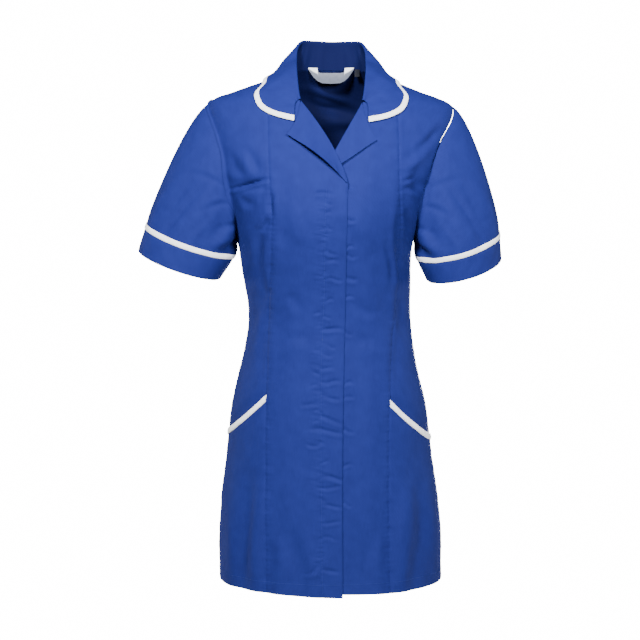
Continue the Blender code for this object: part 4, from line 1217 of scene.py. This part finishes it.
def revers(side):
    cut, fold, rest = reversCut[hand(side)], reversCut["fold"], reversCut["rest"]
    turned = reversCut["turned"]
    u, v = lattice(steps(cut["from"], 56, 0.995), steps(0, 12, turned, 34, 1))
    swing = np.pi * (np.clip(v / turned, 0, 1) - 0.5)
    flat = np.clip((v - turned) / (1 - turned), 0, 1)
    width = reversLayout(side, u, 0.0)[2]
    x, z, width = reversLayout(side, u, mix(fold * (1.04 - np.cos(swing)) / width, 1, flat))
    place, normal = bodyCloth(angleAt(side * x, z), z)
    if side > 0:
        place = lifted(place, normal, -lapDepthAt(place[..., 0], z))
    lift = cut["lift"] * flat**1.5 * ease(u, 2 * cut["from"], 0.5) * (1 - 0.6 * ease(u, 0.6, 1))
    height = rest - fold + fold * np.sin(swing) + lift + reversCut["wall"] / 2
    height = height + reversCut["crinkle"] * ripple(u * 4 + flat, 61 + side) * flat
    makeCloth(f"revers_{hand(side)}", lifted(place, normal, height), wall=reversCut["wall"],
              out=-side, held="folded", restsOn=[f"front_{hand(side)}"])


collar()
for side in (-1, 1):
    revers(side)
print("collar and revers made")


# Neck label and size tab, both left bare
labelCut = {
    "outline": table(
        "x    top   low",
        (0,   -3,   -19.5),
        (14,  -3,   -18.5),
        (20,  -2,   -15.5),
        (21,  4.5,  -15),
        (27,  5,    -9.5),
        (35,  5,    2.5)),
    "wall": 0.5,
    "caughtAt": 0.187,
    "level": 0.08,       # how far up the stand it is sewn on, as collarMiddle counts
    "gap": 2.2,
    "sway": 1.2,
    "tab": (0.195, 0.25),
    "tabLength": 11.0,
}


def standInside(way):
    way = np.asarray(way, float)
    level = labelCut["level"] + 0 * way
    foot = collarMiddle(way, level)
    ahead = collarMiddle(way + 1e-3, level) - foot
    inward = unit(points(ahead[..., 1], -ahead[..., 0], 0.0))
    return foot + inward * labelCut["gap"]


def labels():
    u, v = lattice(steps(0, 12, 1), steps(0, 12, 1))
    top = standInside(mix(*labelCut["tab"], u))
    place = top - points(0.0 * u, 0.8 * (1 - v)**2, labelCut["tabLength"] * (1 - v))
    tab = makeCloth("size_tab", place, "navy_label", labelCut["wall"],
                    held=None)     # it is narrower than a sheet may be, and goes with the label
    outline = labelCut["outline"]
    depth = standInside(labelCut["caughtAt"])[1]
    reach = outline["x"][-1]
    u, v = lattice(steps(-1, 70, 1), steps(0, 14, 1))
    x = u * reach
    top = np.interp(np.abs(x), outline["x"], outline["top"])
    low = np.interp(np.abs(x), outline["x"], outline["low"])
    sway = labelCut["sway"] * np.cos(u * np.pi / 2) * np.sin(v * 2.2)
    place = points(x, depth - 0.6 - sway, mix(low, top, v))
    # The label's upper ends take its own white reverse colour.
    makeCloth("neck_label", place, "white_label", labelCut["wall"], held="hung",
              restsOn=["collar"], goingWith=[tab],
              reverseAndShadeShare=ease(np.abs(x), 20, 21) * ease(v, 0.55, 0.6))


labels()
print("labels made")


# Stitches: each a short thread that dives into the cloth at both ends. The work's real stitches
# are 0.3 mm thick; these are 0.6 mm, or they would not show.
stitchCut = {"length": 2.6, "gap": 1.0, "radius": 0.3, "sides": 6}
stitchRings = table(
    "share  girth  rise",
    (0,     0.5,   -0.8),
    (0.2,   1,     0.4),
    (0.8,   1,     0.4),
    (1,     0.5,   -0.8))


def placketStitches():
    line = frontCut["placketLine"]
    height = np.linspace(bodyCut["hem"] + 3, -170, 400)
    angle = angleAt(np.interp(height, line["height"], line["x"]), height)
    place, normal = frontFace(-1, angle, height)
    stitchLines["placket"] = [(place, normal)]


def armholeStitches():
    step, aside, dip = np.linspace(0.01, 0.99, 200), armholeSink["aside"], armholeSink["stitchDip"]
    lines = []
    for face, turn in (("front", -1), ("back", 1)):
        angle, height = armhole(step, face)
        reach = body("halfWidth", height)
        run, rise = np.gradient(np.radians(angle) * reach), np.gradient(height)
        length = np.hypot(run, rise)
        angle = angle + turn * np.degrees(aside * rise / length / reach)
        height = height - turn * aside * run / length
        for side in (-1, 1):
            place, normal = bodyCloth(side * angle, height)
            lines.append((place - normal * dip, normal))
    stitchLines["armhole"] = lines


def makeStitches(name, lines, slot):
    sides, radius, length = stitchCut["sides"], stitchCut["radius"], stitchCut["length"]
    turn = np.arange(sides) * 2 * np.pi / sides
    rings, grain = [], []
    for line, normal in lines:
        run = arcLength(line, 0)
        start = np.arange(0, run[-1] - length, length + stitchCut["gap"])
        at = start[:, None] + stitchRings["share"] * length
        place, up = [np.stack([np.interp(at, run, part) for part in values.T], axis=-1)
                     for values in (line, normal)]
        up = unit(up)
        aside = unit(np.cross(place[:, -1:] - place[:, :1], up))
        place = place + up * (stitchRings["rise"] * radius)[:, None]
        around = np.cos(turn)[:, None] * aside[:, :, None] + np.sin(turn)[:, None] * up[:, :, None]
        rings.append(place[:, :, None] + around * (stitchRings["girth"] * radius)[:, None, None])
        grain.append(points(at[:, :, None], turn * radius))
    rings, grain = np.concatenate(rings), np.concatenate(grain)
    count, levels = len(rings), len(stitchRings["share"])
    first = (np.arange(count) * levels * sides)[:, None, None]
    ring = np.arange(levels - 1)[:, None] * sides
    side = np.arange(sides)
    after = (side + 1) % sides
    walls = points(first + ring + side, first + ring + sides + side, first + ring + sides + after,
                   first + ring + after).reshape(-1, 4)
    last = (levels - 1) * sides
    caps = np.concatenate([first[:, 0] + side, first[:, 0] + last + side[::-1]])
    corners = np.concatenate([walls.ravel(), caps.ravel()])
    addPiece(name, rings, walls.tolist() + caps.tolist(), grain.reshape(-1, 2)[corners],
             threadOf[slot])
    print(f"{name}: {count} stitches")


placketStitches()
armholeStitches()
for seam, lines in stitchLines.items():
    makeStitches(seam + "Stitches", lines, "white_binding" if "Binding" in seam else "royal_blue_twill")


# Studio: pale floor at the feet of a standing wearer, white surroundings, soft lights
studio = {
    "floor": -1.42,
    "floorReach": 60.0,
    "white": 16.0,
    "surround": 0.05,
    "lights": {
        "keyLight": {"at": (-0.6, -1.45, 1.0), "to": (0.0, 0.0, -0.15), "size": 0.35, "watts": 86},
        "frontLight": {"at": (0.55, -1.4, 0.4), "to": (0.05, 0.0, -0.15), "size": 0.4, "watts": 40},
        "rightLight": {"at": (2.1, 0.75, -0.3), "to": (0.0, 0.0, -0.3), "size": 0.7, "watts": 18},
        "leftLight": {"at": (-2.0, 1.1, -0.3), "to": (0.0, 0.0, -0.3), "size": 0.7, "watts": 18},
        "backLight": {"at": (0.6, 2.1, -0.5), "to": (0.0, 0.0, -0.35), "size": 0.4, "watts": 78},
    },
}


def aim(item, place, target):
    item.location = place
    offset = np.array(target) - np.array(place)
    item.rotation_euler = (np.arccos(-offset[2] / np.linalg.norm(offset)), 0,
                           np.arctan2(-offset[0], offset[1]))


for name, light in studio["lights"].items():
    lamp = bpy.data.lights.new(name, "AREA")
    lamp.shape = "DISK"
    lamp.size = light["size"]
    lamp.energy = light["watts"]
    item = addToScene(name, lamp)
    item.visible_camera = False
    aim(item, light["at"], light["to"])

world = bpy.data.worlds.new("studioWhite")
world.use_nodes = True
sky = world.node_tree.nodes["Background"]
sky.inputs["Color"].default_value = (1, 1, 1, 1)
seen = addNode(world, "ShaderNodeLightPath").outputs["Is Camera Ray"]
level = addNode(world, "ShaderNodeMapRange", {
    "Value": seen, "To Min": studio["surround"], "To Max": studio["white"]}).outputs["Result"]
world.node_tree.links.new(level, sky.inputs["Strength"])
bpy.context.scene.world = world

paint = bpy.data.materials.new("paintedFloor")
paint.use_nodes = True
paint.node_tree.nodes.clear()
seen = addNode(paint, "ShaderNodeLightPath").outputs["Is Camera Ray"]
plain = addNode(paint, "ShaderNodeBsdfDiffuse", {"Color": (0.8, 0.8, 0.8, 1)}).outputs[0]
bright = addNode(paint, "ShaderNodeEmission", {"Strength": studio["white"]}).outputs[0]
both = addNode(paint, "ShaderNodeMixShader", {0: seen, 1: plain, 2: bright}).outputs[0]
addNode(paint, "ShaderNodeOutputMaterial", {"Surface": both})
floorMesh = bpy.data.meshes.new("floor")
floorCorners = [(x * studio["floorReach"], y * studio["floorReach"], studio["floor"])
                for x, y in ((-1, -1), (1, -1), (1, 1), (-1, 1))]
floorMesh.from_pydata(floorCorners, [], [(0, 1, 2, 3)])
floorMesh.materials.append(paint)
addToScene("floor", floorMesh)

# Camera: level with the neck, three and a half metres away, looking a little down
view = {"at": (-0.017, -3.5, 0.02), "pitch": 83.5, "lens": 36 * 2300 / 640}
camera = addToScene("camera", bpy.data.cameras.new("camera"))
camera.data.sensor_width = 36
camera.data.lens = view["lens"]
camera.location = view["at"]
camera.rotation_euler = (np.radians(view["pitch"]), 0, 0)
bpy.context.scene.camera = camera
print("studio made")
